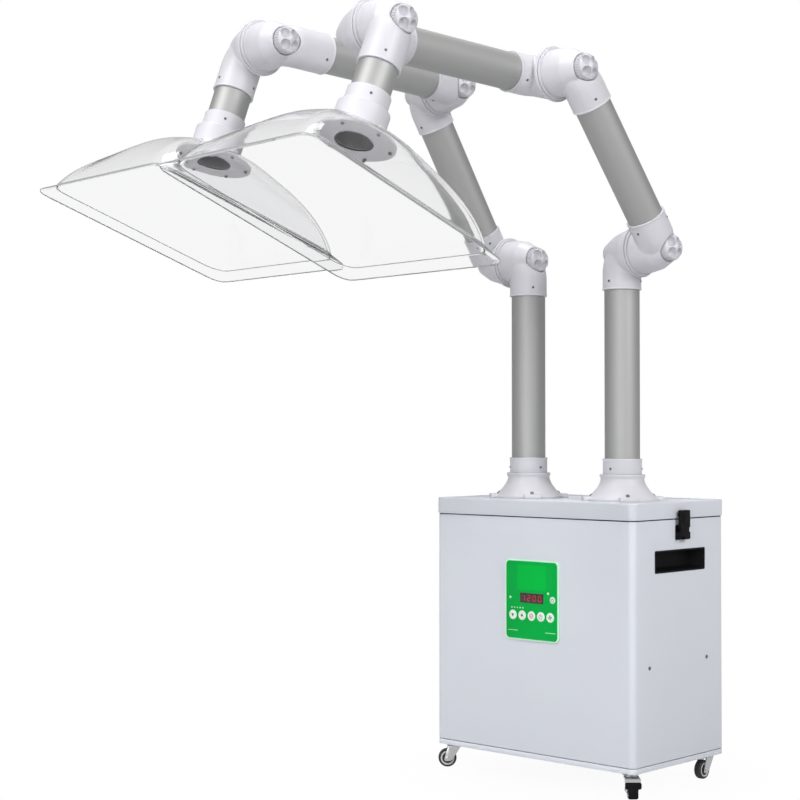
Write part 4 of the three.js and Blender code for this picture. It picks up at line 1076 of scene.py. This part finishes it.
bolt = turned_solid([(BOLT_RADIUS, CHEEK_OUTER), (BOLT_RADIUS, CHEEK_OUTER + BOLT_HEAD),
                     (0.8 * BOLT_RADIUS, CHEEK_OUTER + BOLT_TOP)], 6)
bolts = [put(copy_of(bolt), ALONG_AXLE @ turn_by("X", turn)) for turn in (180, 0)]
fork = joined([fork] + bolts + [put(axle, ALONG_AXLE)])

tyre_side = [(AXLE_RADIUS + 0.0001, 0.0082), (0.0055, 0.0082), (0.0062, 0.0064), (RIM_OUTER + 0.0002, 0.0064),
             (RIM_OUTER + 0.0005, 0.0078), (wheel_radius - 0.0030, 0.0080), (wheel_radius - 0.0012, 0.0070),
             (wheel_radius - 0.0003, 0.0054), (wheel_radius, 0.0034)]
tyre = put(turned([(radius, -half) for radius, half in tyre_side] + tyre_side[::-1], 56), ALONG_AXLE)
hub_side = [(RIM_INNER, RIM_EASED_HALF), (RIM_INNER + RIM_EDGE, RIM_HALF), (RIM_OUTER, RIM_HALF)]
hub = put(turned([(radius, -half) for radius, half in hub_side] + hub_side[::-1], 48), ALONG_AXLE)
brake_arm = block(*BRAKE_ARM, 0.001, 0, Z_AXIS, 2)
weld(brake_arm, block((BRAKE_ARM[0][0], BRAKE_ARM[0][1], BRAKE_ARM_DROP),
                      (BRAKE_ARM[0][0] + BRAKE_ARM_SHEET, BRAKE_ARM[1][1], BRAKE_ARM[1][2]), edge=0))
soften(brake_arm, FORK_EDGE)
pedal = block(*PEDAL_PLATES[0], PEDAL_CORNER, 0, X_AXIS, 5)
weld(pedal, block(*PEDAL_PLATES[1], PEDAL_CORNER, 0, X_AXIS, 5))
for i in range(PEDAL_RIBS):
    rib_z = PEDAL_PLATES[1][0][2] + PEDAL_RIB_START + PEDAL_RIB_PITCH * i
    weld(pedal, block((*PEDAL_RIB[0], rib_z), (*PEDAL_RIB[1], rib_z + PEDAL_RIB_HEIGHT),
                      0.0006, 0, X_AXIS, 2))
soften(pedal, PEDAL_EDGE)
dust_radius, dust_top, dust_bottom = DUST_RING
dust_flare = dust_radius + DUST_RING_FLARE
dust_ring = turned_solid([(dust_radius, dust_top), (dust_flare, dust_top - DUST_RING_SLOPE),
                          (dust_flare, dust_bottom)], 40)
top_plate = block(*CASTOR_PLATE, CASTOR_PLATE_CORNER, CASTOR_PLATE_EDGE)

for corner in ("front_left", "front_right", "rear_right", "rear_left"):
    swivel = Vector(joints[f"castor_{corner}_swivel"]["pos_m"])
    wheel = Vector(joints[f"wheel_{corner}_roll"]["pos_m"])
    back = swivel - wheel
    swivel_place = move_by(swivel.x, swivel.y, 0)
    place = swivel_place @ Matrix.Rotation(math.atan2(back.y, back.x), 4, "Z")
    castor_body = f"castor_{corner}"
    wheel_body = f"wheel_{corner}"
    fit_copy(top_plate, swivel_place, f"castor_plate_{corner}", "cabinet", castor_zinc)
    fit_copy(fork, place, f"castor_yoke_{corner}", castor_body, castor_zinc, f"castor_fork_{corner}")
    fit_copy(tyre, place, f"castor_tyre_{corner}", wheel_body, tyre_rubber, f"castor_wheel_{corner}")
    fit_copy(hub, place, f"castor_hub_{corner}", wheel_body, hub_grey)
    fit_copy(dust_ring, place, f"castor_dust_ring_{corner}", castor_body, tyre_rubber)
    if corner in BRAKED_CASTORS:
        fit_copy(pedal, place, f"castor_brake_{corner}", castor_body, black_plastic)
        fit_copy(brake_arm, place, f"castor_brake_arm_{corner}", castor_body, castor_zinc)
discard(fork, tyre, hub, pedal, brake_arm, dust_ring, top_plate, bolt)

# Arm bases
# Each arm stands on a white moulded bell flange with four lugs and a screw above each of them. A collar
# with set screws clamps the post tube above it and turns on the rim of the bell.
HOOD_TILTS = {"left": 160.2, "right": 157.4}
LEANS = {"left": -1, "right": 1}
TUBE_RADIUS = 0.0375
FLANGE_HEIGHT = 0.056
FLANGE_FOOT_RADIUS = 0.0765
FLANGE_FOOT = 0.004
BELL_TOP = 0.047
BELL_NECK = 0.0463
BELL_CURVE = 1.75
BELL_STEPS = 14
BELL_SCREW = (0.0042, 0.0022)
BELL_SCREW_PLACE = (0.0668, 0, 0.0117)
BELL_SCREW_LEAN = (0.62, 0, 0.78)
FACE_GAP = 0.0003
RIM_RADIUS = 0.0486
LUG_PITCH = 0.0755
LUG_HALF = (0.0200, 0.0110)
LUG_HEIGHT = 0.0090
QUARTER_TURNS = (45, 135, 225, 315)
COLLAR_BOTTOM = 0.0563
COLLAR_TOP = 0.0893
COLLAR_SCREWS = {"left": (-5, 115, 235), "right": (-85, 35, 155)}
COLLAR_RADIUS = 0.0415
COLLAR_LIP = 0.0006
COLLAR_EDGE = 0.0007
COLLAR_SCREW_HEIGHT = 0.068
SOCKET_BORE = 0.0378

arms = {}
for side in LEANS:
    points = [Vector(joints[f"{side}_elbow_{i}_bend"]["pos_m"]) for i in (1, 2, 3)]
    axis = joints[f"{side}_elbow_1_bend"]["axis"]
    yaw = Matrix.Rotation(math.atan2(axis[1], axis[0]), 4, "Z")
    places = {"post": move_by(points[0].x, points[0].y, lid_high.z) @ yaw}
    tilts = {"post": 0}
    for link, start, end in (("link", points[0], points[1]), ("fore", points[1], points[2])):
        along = yaw.inverted().to_3x3() @ (end - start)
        tilts[link] = math.atan2(-along.y, along.z)
        places[link] = Matrix.Translation(start) @ yaw @ Matrix.Rotation(tilts[link], 4, "X")
    tilts["hood"] = math.radians(HOOD_TILTS[side])
    places["hood"] = Matrix.Translation(points[2]) @ yaw @ Matrix.Rotation(tilts["hood"], 4, "X")
    lengths = {"post": points[0].z - lid_high.z, "link": (points[1] - points[0]).length,
               "fore": (points[2] - points[1]).length}
    arms[side] = {"places": places, "tilts": tilts, "lengths": lengths}

white_plastic = Finish("white_plastic", "white_plastic")
grain = white_plastic.noise(1300, 2)
cloud = white_plastic.noise(14, 3)
white_plastic.give(base_color=white_plastic.mix(cloud, (0.585, 0.58, 0.62, 1), (0.635, 0.63, 0.665, 1)),
                   roughness=0.36 + 0.14 * grain, normal=white_plastic.bump(grain, 0.10, 0.0003))

bell = [(DUCT_RADIUS, FACE_GAP), (FLANGE_FOOT_RADIUS, FACE_GAP), (FLANGE_FOOT_RADIUS, FLANGE_FOOT)]
for i in range(1, BELL_STEPS + 1):
    share = 1 - i / BELL_STEPS
    bell.append((BELL_NECK + (FLANGE_FOOT_RADIUS - BELL_NECK) * share ** BELL_CURVE,
                 BELL_TOP - (BELL_TOP - FLANGE_FOOT) * share))
bell += [(RIM_RADIUS - 0.0012, BELL_TOP + 0.0016), (RIM_RADIUS - 0.0004, FLANGE_HEIGHT - 0.0038),
         (RIM_RADIUS, FLANGE_HEIGHT - 0.0030), (RIM_RADIUS, FLANGE_HEIGHT - 0.0012),
         (RIM_RADIUS - 0.0010, FLANGE_HEIGHT - 0.0002), (RIM_RADIUS - 0.003, FLANGE_HEIGHT),
         (DUCT_RADIUS, FLANGE_HEIGHT)]
flange = turned(bell, 96)
for turn in QUARTER_TURNS:
    lug = block((LUG_PITCH - LUG_HALF[1], -LUG_HALF[0], FACE_GAP),
                (LUG_PITCH + LUG_HALF[1], LUG_HALF[0], LUG_HEIGHT), 0.004, 0.0012, Z_AXIS, 5)
    weld(flange, put(lug, turn_by("Z", turn)))
lip_radius = COLLAR_RADIUS + COLLAR_LIP
collar = turned([(SOCKET_BORE, COLLAR_BOTTOM), (COLLAR_RADIUS, COLLAR_BOTTOM),
                 (COLLAR_RADIUS, COLLAR_TOP - 0.004), (lip_radius, COLLAR_TOP - 0.0035),
                 (lip_radius, COLLAR_TOP), (SOCKET_BORE, COLLAR_TOP)], 80)
soften(collar, COLLAR_EDGE)
bell_screw = screw(*BELL_SCREW)
screw_seat = move_by(*BELL_SCREW_PLACE) @ facing(BELL_SCREW_LEAN)
for side in LEANS:
    foot = arms[side]["places"]["post"]
    foot_place = Matrix.Translation(foot.translation)
    screw_places = [foot_place @ turn_by("Z", turn) @ screw_seat for turn in QUARTER_TURNS]
    fit_copy(flange, foot_place, f"{side}_bell_flange", "lid", white_plastic, f"{side}_base_flange")
    fit(scattered(bell_screw, screw_places), f"{side}_flange_screws", "lid", steel_dark)
    fit_copy(collar, foot, f"{side}_post_clamp", f"{side}_post", white_plastic, f"{side}_post_collar")
discard(flange, collar, bell_screw)

# Arm tubes
# Drawn aluminium tube of 75 mm, anodised to a satin sheen, with fine draw lines along it. Each tube is
# pushed into a socket at both ends and held by set screws.
TUBE_WALL = 0.0015
SOCKET_REACH = 0.080
FORE_TIP_REACH = 0.115
HOOD_REACH = 0.096
TUBE_ENTRY = 0.0297
ELBOW_OFFSET = 0.054
HOOD_COLLAR_TOP = 0.150
COLLAR_ENTRY = 0.026
TUBE_SIDES = 96
TUBE_EDGE = 0.0004
tube_metal = Finish("tube_aluminium", "tube_aluminium")
wrapped = tube_metal.node("ShaderNodeUVMap", {}, {})
stretched = tube_metal.node("ShaderNodeMapping", {}, {"Vector": wrapped, "Scale": (260, 2.2, 1)})
lines = tube_metal.noise(1.0, 3, stretched)
tube_metal.give(base_color=tube_metal.mix(lines, (0.395, 0.40, 0.395, 1), (0.45, 0.455, 0.448, 1)),
                metallic=1.0, roughness=0.56 + 0.10 * lines)


def tube(low, high):
    """A length of tube along +Z with eased ends and a map that runs round it and along it."""
    inner = TUBE_RADIUS - TUBE_WALL
    piece = turned([(inner, low), (TUBE_RADIUS, low), (TUBE_RADIUS, high), (inner, high)], TUBE_SIDES)
    soften(piece, TUBE_EDGE, 1)
    around = piece.data.uv_layers.new(name="around")
    for face in piece.data.polygons:
        turns = []
        for corner in face.loop_indices:
            point = piece.data.vertices[piece.data.loops[corner].vertex_index].co
            turns.append(math.atan2(point.y, point.x) / math.tau)
        for corner, turn in zip(face.loop_indices, turns):
            if max(turns) - min(turns) > 0.5 and turn < 0:
                turn += 1
            point = piece.data.vertices[piece.data.loops[corner].vertex_index].co
            around.data[corner].uv = (turn, point.z)
    return piece


for side, lean in LEANS.items():
    arm = arms[side]
    shift = 2 * ELBOW_OFFSET * lean
    lengths = arm["lengths"]
    runs = (("post", "post", 0, COLLAR_TOP - COLLAR_ENTRY, lengths["post"] - SOCKET_REACH + TUBE_ENTRY),
            ("link", "link", shift, SOCKET_REACH - TUBE_ENTRY, lengths["link"] - SOCKET_REACH + TUBE_ENTRY),
            ("fore", "fore", 0, SOCKET_REACH - TUBE_ENTRY, lengths["fore"] - FORE_TIP_REACH + TUBE_ENTRY),
            ("hood", "head", shift, HOOD_REACH - TUBE_ENTRY, HOOD_COLLAR_TOP + COLLAR_ENTRY))
    for run, body, offset, low, high in runs:
        piece = put(tube(low, high), arm["places"][run] @ move_by(offset, 0, 0))
        fit(piece, f"{side}_{run}_tube_drawn", f"{side}_{body}", tube_metal, f"{side}_{run}_tube")

# Elbows
# Every joint is two white moulded halves that turn face to face on a clamping stud. Each half is a short
# drum that bends into a tube socket; one half ends in a pocket for the knob, the other in a small boss.
BEND_LEAD = 0.012
BEND_RADIUS = 0.042
ELBOW_RADIUS = 0.041
DUCT_BORE = 0.036
SOCKET_DEPTH = 0.030
KNOB_RING_RADIUS = 0.0535
NUT_RING_RADIUS = 0.0562
RING_WIDTH = 0.0055
DRUM_RADIUS = 0.0485
DRUM_END = 0.022
KNOB_NOSE = (0.0310, 0.0760)
NUT_NOSE = (0.0210, 0.0900)
BOSS_START = 0.064
POCKET_RADIUS = 0.0278
POCKET_FLOOR = 0.0722
NOSE_BULGE = 0.004
BEND_STEPS = 14
BEND_SIDES = 56
BAR_START = 0.004
BORE_REACH = 0.01
MOUTH_REACH = 0.02
BOSS_REACH = 0.12
RING_EDGE = 0.0006
RING_FACE_EDGE = 0.0008
RING_BORE = 0.038
BEAD_SINK = 0.004
BEAD_RISE = 0.0016
BEAD_SPAN = (0.0016, 0.0056)
LIP_WIDTH = 0.0040
LIP_RISE = 0.0006
VOXEL = 0.0017
KEPT_SHARE = 0.22
SET_SCREW = (0.0026, 0.0012)
SET_SCREW_INSET = 0.018
SET_SCREW_TURNS = (30, 150, 270)
ALONG_X = turn_by("Y", 90)


def bent_bar(radius, start, top):
    """A solid round bar that starts along +X, bends upwards and ends at a height."""
    piece = add(bpy.ops.mesh.primitive_circle_add, vertices=BEND_SIDES, radius=radius, fill_type="NGON",
                location=(start, 0, 0), rotation=(0, math.pi / 2, 0))
    open_edit(piece)
    bpy.ops.mesh.select_all(action="SELECT")
    push(BEND_LEAD - start, 0, 0)
    bpy.ops.mesh.spin(steps=BEND_STEPS, angle=math.pi / 2, center=(BEND_LEAD, 0, BEND_RADIUS), axis=(0, 1, 0))
    push(0, 0, top - BEND_RADIUS)
    bpy.ops.mesh.select_all(action="SELECT")
    bpy.ops.mesh.remove_doubles(threshold=MERGE_REACH)
    bpy.ops.mesh.normals_make_consistent(inside=False)
    close_edit()
    return piece


def elbow_half(reach, with_knob):
    """An elbow half with its joint face at x = 0 and its socket pointing up."""
    nose_radius, nose_end = KNOB_NOSE if with_knob else NUT_NOSE
    socket_place = move_by(ELBOW_OFFSET, 0, 0)
    nose_middle = ((DRUM_RADIUS + nose_radius) / 2 + NOSE_BULGE, (DRUM_END + nose_end) / 2)
    drum = [(DRUM_RADIUS, FACE_GAP), (DRUM_RADIUS, DRUM_END), nose_middle, (nose_radius, nose_end)]
    outside = put(turned_solid(drum, 72), ALONG_X)
    weld(outside, bent_bar(ELBOW_RADIUS, BAR_START, reach))
    boss = put(turned_solid([(nose_radius, BOSS_START), (nose_radius, BOSS_REACH)]), ALONG_X)
    carve(boss, copy_of(outside), "INTERSECT")
    half = carve(outside, bent_bar(DUCT_BORE, -BORE_REACH, reach + BORE_REACH))
    mouth = turned_solid([(SOCKET_BORE, reach - SOCKET_DEPTH), (SOCKET_BORE, reach + MOUTH_REACH)], 72)
    carve(half, put(mouth, socket_place))
    weld(half, boss)
    if with_knob:
        carve(half, put(turned_solid([(POCKET_RADIUS, POCKET_FLOOR), (POCKET_RADIUS, BOSS_REACH)]), ALONG_X))
    half.data.remesh_voxel_size = VOXEL
    select_only(half)
    bpy.ops.object.voxel_remesh()
    modify(half, "SMOOTH", factor=0.5, iterations=5)
    modify(half, "DECIMATE", ratio=KEPT_SHARE)
    ring_radius = KNOB_RING_RADIUS if with_knob else NUT_RING_RADIUS
    ring = turned([(RING_BORE, FACE_GAP), (ring_radius - RING_FACE_EDGE, FACE_GAP),
                   (ring_radius, FACE_GAP + RING_FACE_EDGE), (ring_radius, RING_WIDTH - RING_EDGE),
                   (ring_radius - RING_EDGE, RING_WIDTH), (RING_BORE, RING_WIDTH)], 96)
    weld(half, put(ring, ALONG_X))
    if not with_knob:
        bead_inner = DRUM_RADIUS - BEAD_SINK
        bead_outer = DRUM_RADIUS + BEAD_RISE
        bead_low, bead_high = (RING_WIDTH + end for end in BEAD_SPAN)
        bead = turned([(bead_inner, bead_low), (bead_outer - RING_EDGE, bead_low),
                       (bead_outer, bead_low + RING_EDGE), (bead_outer, bead_high - RING_EDGE),
                       (bead_outer - RING_EDGE, bead_high), (bead_inner, bead_high)], 96)
        weld(half, put(bead, ALONG_X))
    lip_radius = ELBOW_RADIUS + LIP_RISE
    lip_low = reach - LIP_WIDTH
    lip = turned([(SOCKET_BORE, lip_low), (lip_radius - 0.0004, lip_low), (lip_radius, lip_low + LIP_RISE),
                  (lip_radius, reach - LIP_RISE), (lip_radius - LIP_RISE, reach), (SOCKET_BORE, reach)], 88)
    weld(half, put(lip, socket_place))
    return half


def half_turn(outward, upward):
    """Turns an elbow half so that its boss and its socket point the right way."""
    if outward > 0:
        return turn_by("X", 180 if upward < 0 else 0)
    return turn_by("Z" if upward > 0 else "Y", 180)


set_screws = {}
screw_head = screw(*SET_SCREW)


def add_set_screws(body, place, radius, height, turns):
    """Puts set screws round an upright socket or collar, at angles from its own x axis."""
    for turn in turns:
        angle = math.radians(turn)
        out = Vector((math.cos(angle), math.sin(angle), 0))
        spot = Matrix.Translation(out * radius + Vector((0, 0, height))) @ facing(out)
        set_screws.setdefault(body, []).append(put(copy_of(screw_head), place @ spot))


half_shapes = {}
for side, lean in LEANS.items():
    arm = arms[side]
    lengths = arm["lengths"]
    halves = (("elbow_1_lower", "post", "post", lengths["post"], -lean, -1, SOCKET_REACH),
              ("elbow_1_upper", "link", "link", 0, lean, 1, SOCKET_REACH),
              ("elbow_2_lower", "link", "link", lengths["link"], lean, -1, SOCKET_REACH),
              ("elbow_2_upper", "fore", "fore", 0, -lean, 1, SOCKET_REACH),
              ("elbow_3_inner", "fore", "fore", lengths["fore"], -lean, -1, FORE_TIP_REACH),
              ("elbow_3_outer", "hood", "head", 0, lean, 1, HOOD_REACH))
    for name, place, body, height, outward, upward, reach in halves:
        kind = (reach, outward > 0)
        if kind not in half_shapes:
            half_shapes[kind] = elbow_half(*kind)
        seat = arm["places"][place] @ move_by(ELBOW_OFFSET * lean, 0, height) @ half_turn(outward, upward)
        arm_body = f"{side}_{body}"
        fit_copy(half_shapes[kind], seat, f"{side}_{name}_half", arm_body, white_plastic, f"{side}_{name}")
        add_set_screws(arm_body, seat @ move_by(ELBOW_OFFSET, 0, 0), ELBOW_RADIUS, reach - SET_SCREW_INSET,
                       SET_SCREW_TURNS)
    add_set_screws(f"{side}_post", arm["places"]["post"], COLLAR_RADIUS, COLLAR_SCREW_HEIGHT,
                   COLLAR_SCREWS[side])
discard(*half_shapes.values())

# Knobs and nuts
# A white clamping knob on the right-hand end of every joint tightens the stud that holds its two halves.
# The knob has a ribbed side and a cross of four ridges; a small round nut sits on the other end.
KNOB_RADIUS = 0.0268
KNOB_RIB = 0.0013
KNOB_RIBS = 32
KNOB_BACK = 0.0738
KNOB_FRONT = 0.0930
KNOB_TIP = 0.1015
SCOOP_RADIUS = 0.0108
SCOOP_PITCH = 0.0156
SCOOP_RISE = 0.0012
STUD_RADIUS = 0.004
STUD_START = -0.0905
NUT_RADIUS = 0.0115
NUT_END = 0.0975
NUT_SEAT = 0.002
NUT_EDGE = 0.0012
NUT_RIB = 0.0007
NUT_RIBS = 20
KNOB_EDGE = 0.0004
UPRIGHT = 0.1


def ribbed(piece, ribs, rise):
    """Raises every second face round the upright side of a turned piece."""
    step = math.tau / (2 * ribs)
    open_edit(piece)
    pick_faces(piece, lambda middle, normal: abs(normal.z) < UPRIGHT
               and math.floor(math.atan2(middle.y, middle.x) / step) % 2 == 0)
    bpy.ops.mesh.extrude_faces_move(TRANSFORM_OT_shrink_fatten={"value": rise})
    close_edit()
    return piece


core_radius = KNOB_RADIUS - KNOB_RIB
knob = turned_solid([(core_radius, KNOB_BACK), (core_radius, KNOB_FRONT - 0.0042),
                     (core_radius - 0.0004, KNOB_FRONT - 0.0012), (KNOB_RADIUS - 0.0026, KNOB_FRONT),
                     (0.0030, KNOB_TIP - 0.0012), (0.0012, KNOB_TIP)], 2 * KNOB_RIBS)
ribbed(knob, KNOB_RIBS, KNOB_RIB)
for turn in QUARTER_TURNS:
    scoop_place = turn_by("Z", turn) @ Vector((SCOOP_PITCH, 0, KNOB_FRONT + SCOOP_RISE))
    carve(knob, add(bpy.ops.mesh.primitive_uv_sphere_add, segments=40, ring_count=24, radius=SCOOP_RADIUS,
                    location=scoop_place))
soften(knob, KNOB_EDGE)
stud = turned_solid([(STUD_RADIUS, STUD_START), (STUD_RADIUS, KNOB_BACK + 0.001)], 24)
knob = put(joined([knob, stud]), ALONG_X)
nut = turned_solid([(NUT_RADIUS, NUT_NOSE[1] - NUT_SEAT), (NUT_RADIUS, NUT_END - NUT_EDGE),
                    (NUT_RADIUS - NUT_EDGE, NUT_END)], 2 * NUT_RIBS)
put(ribbed(nut, NUT_RIBS, NUT_RIB), turn_by("Y", -90))
for side, lean in LEANS.items():
    arm = arms[side]
    lengths = arm["lengths"]
    if lean > 0:
        holders = (("link", 0, "post"), ("link", lengths["link"], "fore"), ("hood", 0, "fore"))
    else:
        holders = (("post", lengths["post"], "link"), ("fore", 0, "link"), ("fore", lengths["fore"], "head"))
    for i, (place, height, nut_body) in enumerate(holders, 1):
        seat = arm["places"][place] @ move_by(ELBOW_OFFSET * lean, 0, height)
        knob_seat = seat @ Matrix.Rotation(-arm["tilts"][place], 4, "X")
        clamp_body = f"{side}_clamp_{i}"
        fit_copy(knob, knob_seat, f"{side}_clamp_knob_{i}", clamp_body, white_plastic, f"{side}_knob_{i}")
        fit_copy(nut, seat, f"{side}_clamp_nut_{i}", f"{side}_{nut_body}", white_plastic)
discard(knob, nut)

# Hood collars
# A white moulded collar clamps the end of the last tube with set screws. Below it a thicker ring widens to
# a round plate, and screws through lugs on the plate hold the crown of the hood. The white bore is painted
# dark grey as painted shade inside the duct.
COLLAR_END = 0.182
HOOD_RING_RADIUS = 0.050
HOOD_RING_END = 0.220
PLATE_TOP = 0.234
PLATE_RADIUS = 0.078
CROWN = 0.242
PLATE_SCREW_PITCH = 0.068
PLATE_SCREW = (0.0036, 0.0018)
PLATE_SCREW_TOP = PLATE_TOP - 0.004
PLATE_SCREW_BOTTOM = CROWN + 0.0033
PLATE_LUGS = 6
PLATE_LUG = ((-0.009, -0.008), (-0.0005, 0.008))
MOUNT_EDGE = 0.0006
BORE_SKIN = 0.0002
mount = turned([(SOCKET_BORE, HOOD_COLLAR_TOP), (COLLAR_RADIUS, HOOD_COLLAR_TOP),
                (COLLAR_RADIUS, COLLAR_END - 0.001), (HOOD_RING_RADIUS - 0.0015, COLLAR_END),
                (HOOD_RING_RADIUS, COLLAR_END + 0.0018), (HOOD_RING_RADIUS, HOOD_RING_END - 0.003),
                (HOOD_RING_RADIUS + 0.002, HOOD_RING_END), (0.056, HOOD_RING_END + 0.007),
                (PLATE_RADIUS - 0.002, PLATE_TOP), (PLATE_RADIUS, PLATE_TOP + 0.002), (PLATE_RADIUS, CROWN),
                (DUCT_BORE, CROWN), (DUCT_BORE, HOOD_COLLAR_TOP + COLLAR_ENTRY),
                (SOCKET_BORE, HOOD_COLLAR_TOP + COLLAR_ENTRY)], 96)
soften(mount, MOUNT_EDGE)
lug_turns = [turn_by("Z", 360 / PLATE_LUGS * i) for i in range(PLATE_LUGS)]
for turn in lug_turns:
    lug = block((PLATE_SCREW_PITCH + PLATE_LUG[0][0], PLATE_LUG[0][1], PLATE_SCREW_TOP),
                (PLATE_RADIUS + PLATE_LUG[1][0], PLATE_LUG[1][1], CROWN - 0.001), 0.004, 0.001, Z_AXIS, 5)
    weld(mount, put(lug, turn))
plate_screw = screw(*PLATE_SCREW)
# Painted shade: the bore of the white plastic mount gets a dark grey finish in place of the white, for the
# shade inside the duct.
bore_painted_shade = Finish("duct_painted_shade", "white_plastic")
bore_painted_shade.give(base_color=bore_painted_shade.mix(bore_painted_shade.noise(40), (0.10, 0.10, 0.105, 1), (0.14, 0.14, 0.145, 1)),
               roughness=0.5 + 0.2 * bore_painted_shade.noise(300))
for side, lean in LEANS.items():
    seat = arms[side]["places"]["hood"] @ move_by(2 * ELBOW_OFFSET * lean, 0, 0)
    piece = copy_of(mount)
    bore_faces = [face.index for face in piece.data.polygons
                  if math.hypot(face.center.x, face.center.y) < DUCT_BORE + BORE_SKIN]
    fit(put(piece, seat), f"{side}_hood_mount", f"{side}_head", white_plastic, f"{side}_hood_collar")
    # The faces of the bore take the painted shade.
    piece.data.materials.append(bore_painted_shade.material)
    for index in bore_faces:
        piece.data.polygons[index].material_index = 1
    add_set_screws(f"{side}_head", seat, COLLAR_RADIUS, (HOOD_COLLAR_TOP + COLLAR_END) / 2, SET_SCREW_TURNS)
    screw_places = []
    for turn in lug_turns:
        screw_places.append(seat @ turn @ move_by(PLATE_SCREW_PITCH, 0, PLATE_SCREW_TOP) @ facing((0, 0, -1)))
        screw_places.append(seat @ turn @ move_by(PLATE_SCREW_PITCH, 0, PLATE_SCREW_BOTTOM))
    fit(scattered(plate_screw, screw_places), f"{side}_plate_screws", f"{side}_head", steel_dark)
for body, heads in set_screws.items():
    fit(joined(heads), f"{body}_set_screws", body, steel_dark)
discard(mount, plate_screw, screw_head)

# Hoods
# A clear acrylic sheet blown into a pillow dome: a round flat crown under the plate grows into a rounded
# square, and a short flared skirt runs round its foot. The sawn edge and a band along the fold above it are
# painted grey as painted shade, for the dark lines that the clear sheet shows there.
HOOD_HALF = 0.225
HOOD_HALF_LENGTH = 0.235
HOOD_STRETCH = HOOD_HALF_LENGTH / HOOD_HALF
HOOD_CORNER = 0.028
HOOD_FOLD_CORNER = 0.042
HOOD_SKIRT = 0.017
HOOD_SKIRT_RISE = 0.013
HOOD_FOLD_SHADE_BAND = 0.0018
HOOD_FULLNESS = 0.90
HOOD_WALL = 0.003
HOOD_CROWN_RADIUS = 0.080
HOOD_TOP = 0.2423
HOOD_RIM = 0.393
HOOD_STEPS = 18
HOOD_SIDES = 160
HOOD_EDGE_REACH = 0.001
EDGE_SLOPE = 0.3
EDGE_SHARE = 0.8
clear_acrylic = Finish("clear_acrylic", "clear_acrylic")
smear = clear_acrylic.noise(25, 3)
clear_acrylic.give(base_color=(0.925, 0.926, 0.93, 1), roughness=0.02 + 0.03 * smear,
                   transmission_weight=1.0, ior=1.2)
# Painted shade: a grey finish for the sawn edge and a band along the fold of the clear sheet, for the dark
# lines that refraction draws there.
edge_painted_shade = Finish("acrylic_edge_painted_shade", "clear_acrylic")
edge_painted_shade.give(base_color=edge_painted_shade.mix(edge_painted_shade.noise(60), (0.30, 0.305, 0.31, 1),
                                          (0.38, 0.385, 0.39, 1)),
                roughness=0.25 + 0.1 * edge_painted_shade.noise(300))


def square_reach(angle, corner):
    """How far the edge of the rounded square lies from its middle, as a share of its half width."""
    quarter = math.pi / 2
    turn = quarter / 2 - abs(angle % quarter - quarter / 2)
    centre = HOOD_HALF - corner
    if HOOD_HALF * math.tan(turn) <= centre:
        return 1 / math.cos(turn)
    along = centre * (math.cos(turn) + math.sin(turn))
    return (along + math.sqrt(along * along - 2 * centre * centre + corner * corner)) / HOOD_HALF


def dome(inset):
    """The outline of the dome's outer or inner face, from the crown to the fold."""
    wall_end = HOOD_HALF - HOOD_SKIRT - inset
    height = HOOD_RIM - HOOD_WALL - HOOD_SKIRT_RISE - HOOD_TOP
    points = []
    for i in range(1, HOOD_STEPS + 1):
        turn = math.radians(90 * i / HOOD_STEPS)
        points.append((HOOD_CROWN_RADIUS + (wall_end - HOOD_CROWN_RADIUS) * math.sin(turn),
                       HOOD_TOP + inset + height * (1 - abs(math.cos(turn)) ** (2 * HOOD_FULLNESS))))
    return points


outside = [(DUCT_BORE, HOOD_TOP), (HOOD_CROWN_RADIUS, HOOD_TOP)] + dome(0)
outside += [(HOOD_HALF, HOOD_RIM - HOOD_WALL)]
inside = [(DUCT_BORE, HOOD_TOP + HOOD_WALL), (HOOD_CROWN_RADIUS, HOOD_TOP + HOOD_WALL)] + dome(HOOD_WALL)
inside += [(HOOD_HALF, HOOD_RIM)]
hood = turned(inside + outside[::-1], HOOD_SIDES)
fold_radius, fold_height = dome(0)[-1]
# The band along the fold that takes the painted shade.
fold_shade_faces = [face.index for face in hood.data.polygons
              if abs(face.center.z - fold_height + HOOD_FOLD_SHADE_BAND / 2) < HOOD_FOLD_SHADE_BAND / 2
              and abs(math.hypot(face.center.x, face.center.y) - fold_radius) < HOOD_FOLD_SHADE_BAND / 2]
wall_end = HOOD_HALF - HOOD_SKIRT - HOOD_WALL
for vertex in hood.data.vertices:
    radius = math.hypot(vertex.co.x, vertex.co.y)
    share = min(max((radius - HOOD_CROWN_RADIUS) / (wall_end - HOOD_CROWN_RADIUS), 0), 1)
    share = share * share * (3 - 2 * share)
    corner = HOOD_CORNER if radius > HOOD_HALF - HOOD_EDGE_REACH else HOOD_FOLD_CORNER
    spread = 1 + share * (square_reach(math.atan2(vertex.co.y, vertex.co.x), corner) - 1)
    vertex.co.x *= spread
    vertex.co.y *= spread * (1 + share * (HOOD_STRETCH - 1))
hood.data.update()
for side, lean in LEANS.items():
    seat = arms[side]["places"]["hood"] @ move_by(2 * ELBOW_OFFSET * lean, 0, 0)
    piece = copy_of(hood)
    # The faces of the sawn edge, which take the painted shade as well.
    edge_shade_faces = [face.index for face in piece.data.polygons
                  if abs(face.normal.z) < EDGE_SLOPE
                  and abs(face.center.z - HOOD_RIM + HOOD_WALL / 2) < HOOD_WALL
                  and max(abs(face.center.x), abs(face.center.y)) > EDGE_SHARE * HOOD_HALF]
    fit(put(piece, seat), f"{side}_hood_dome", f"{side}_head", clear_acrylic, f"{side}_hood")
    piece.data.materials.append(edge_painted_shade.material)
    for index in edge_shade_faces + fold_shade_faces:
        piece.data.polygons[index].material_index = 1
discard(hood)
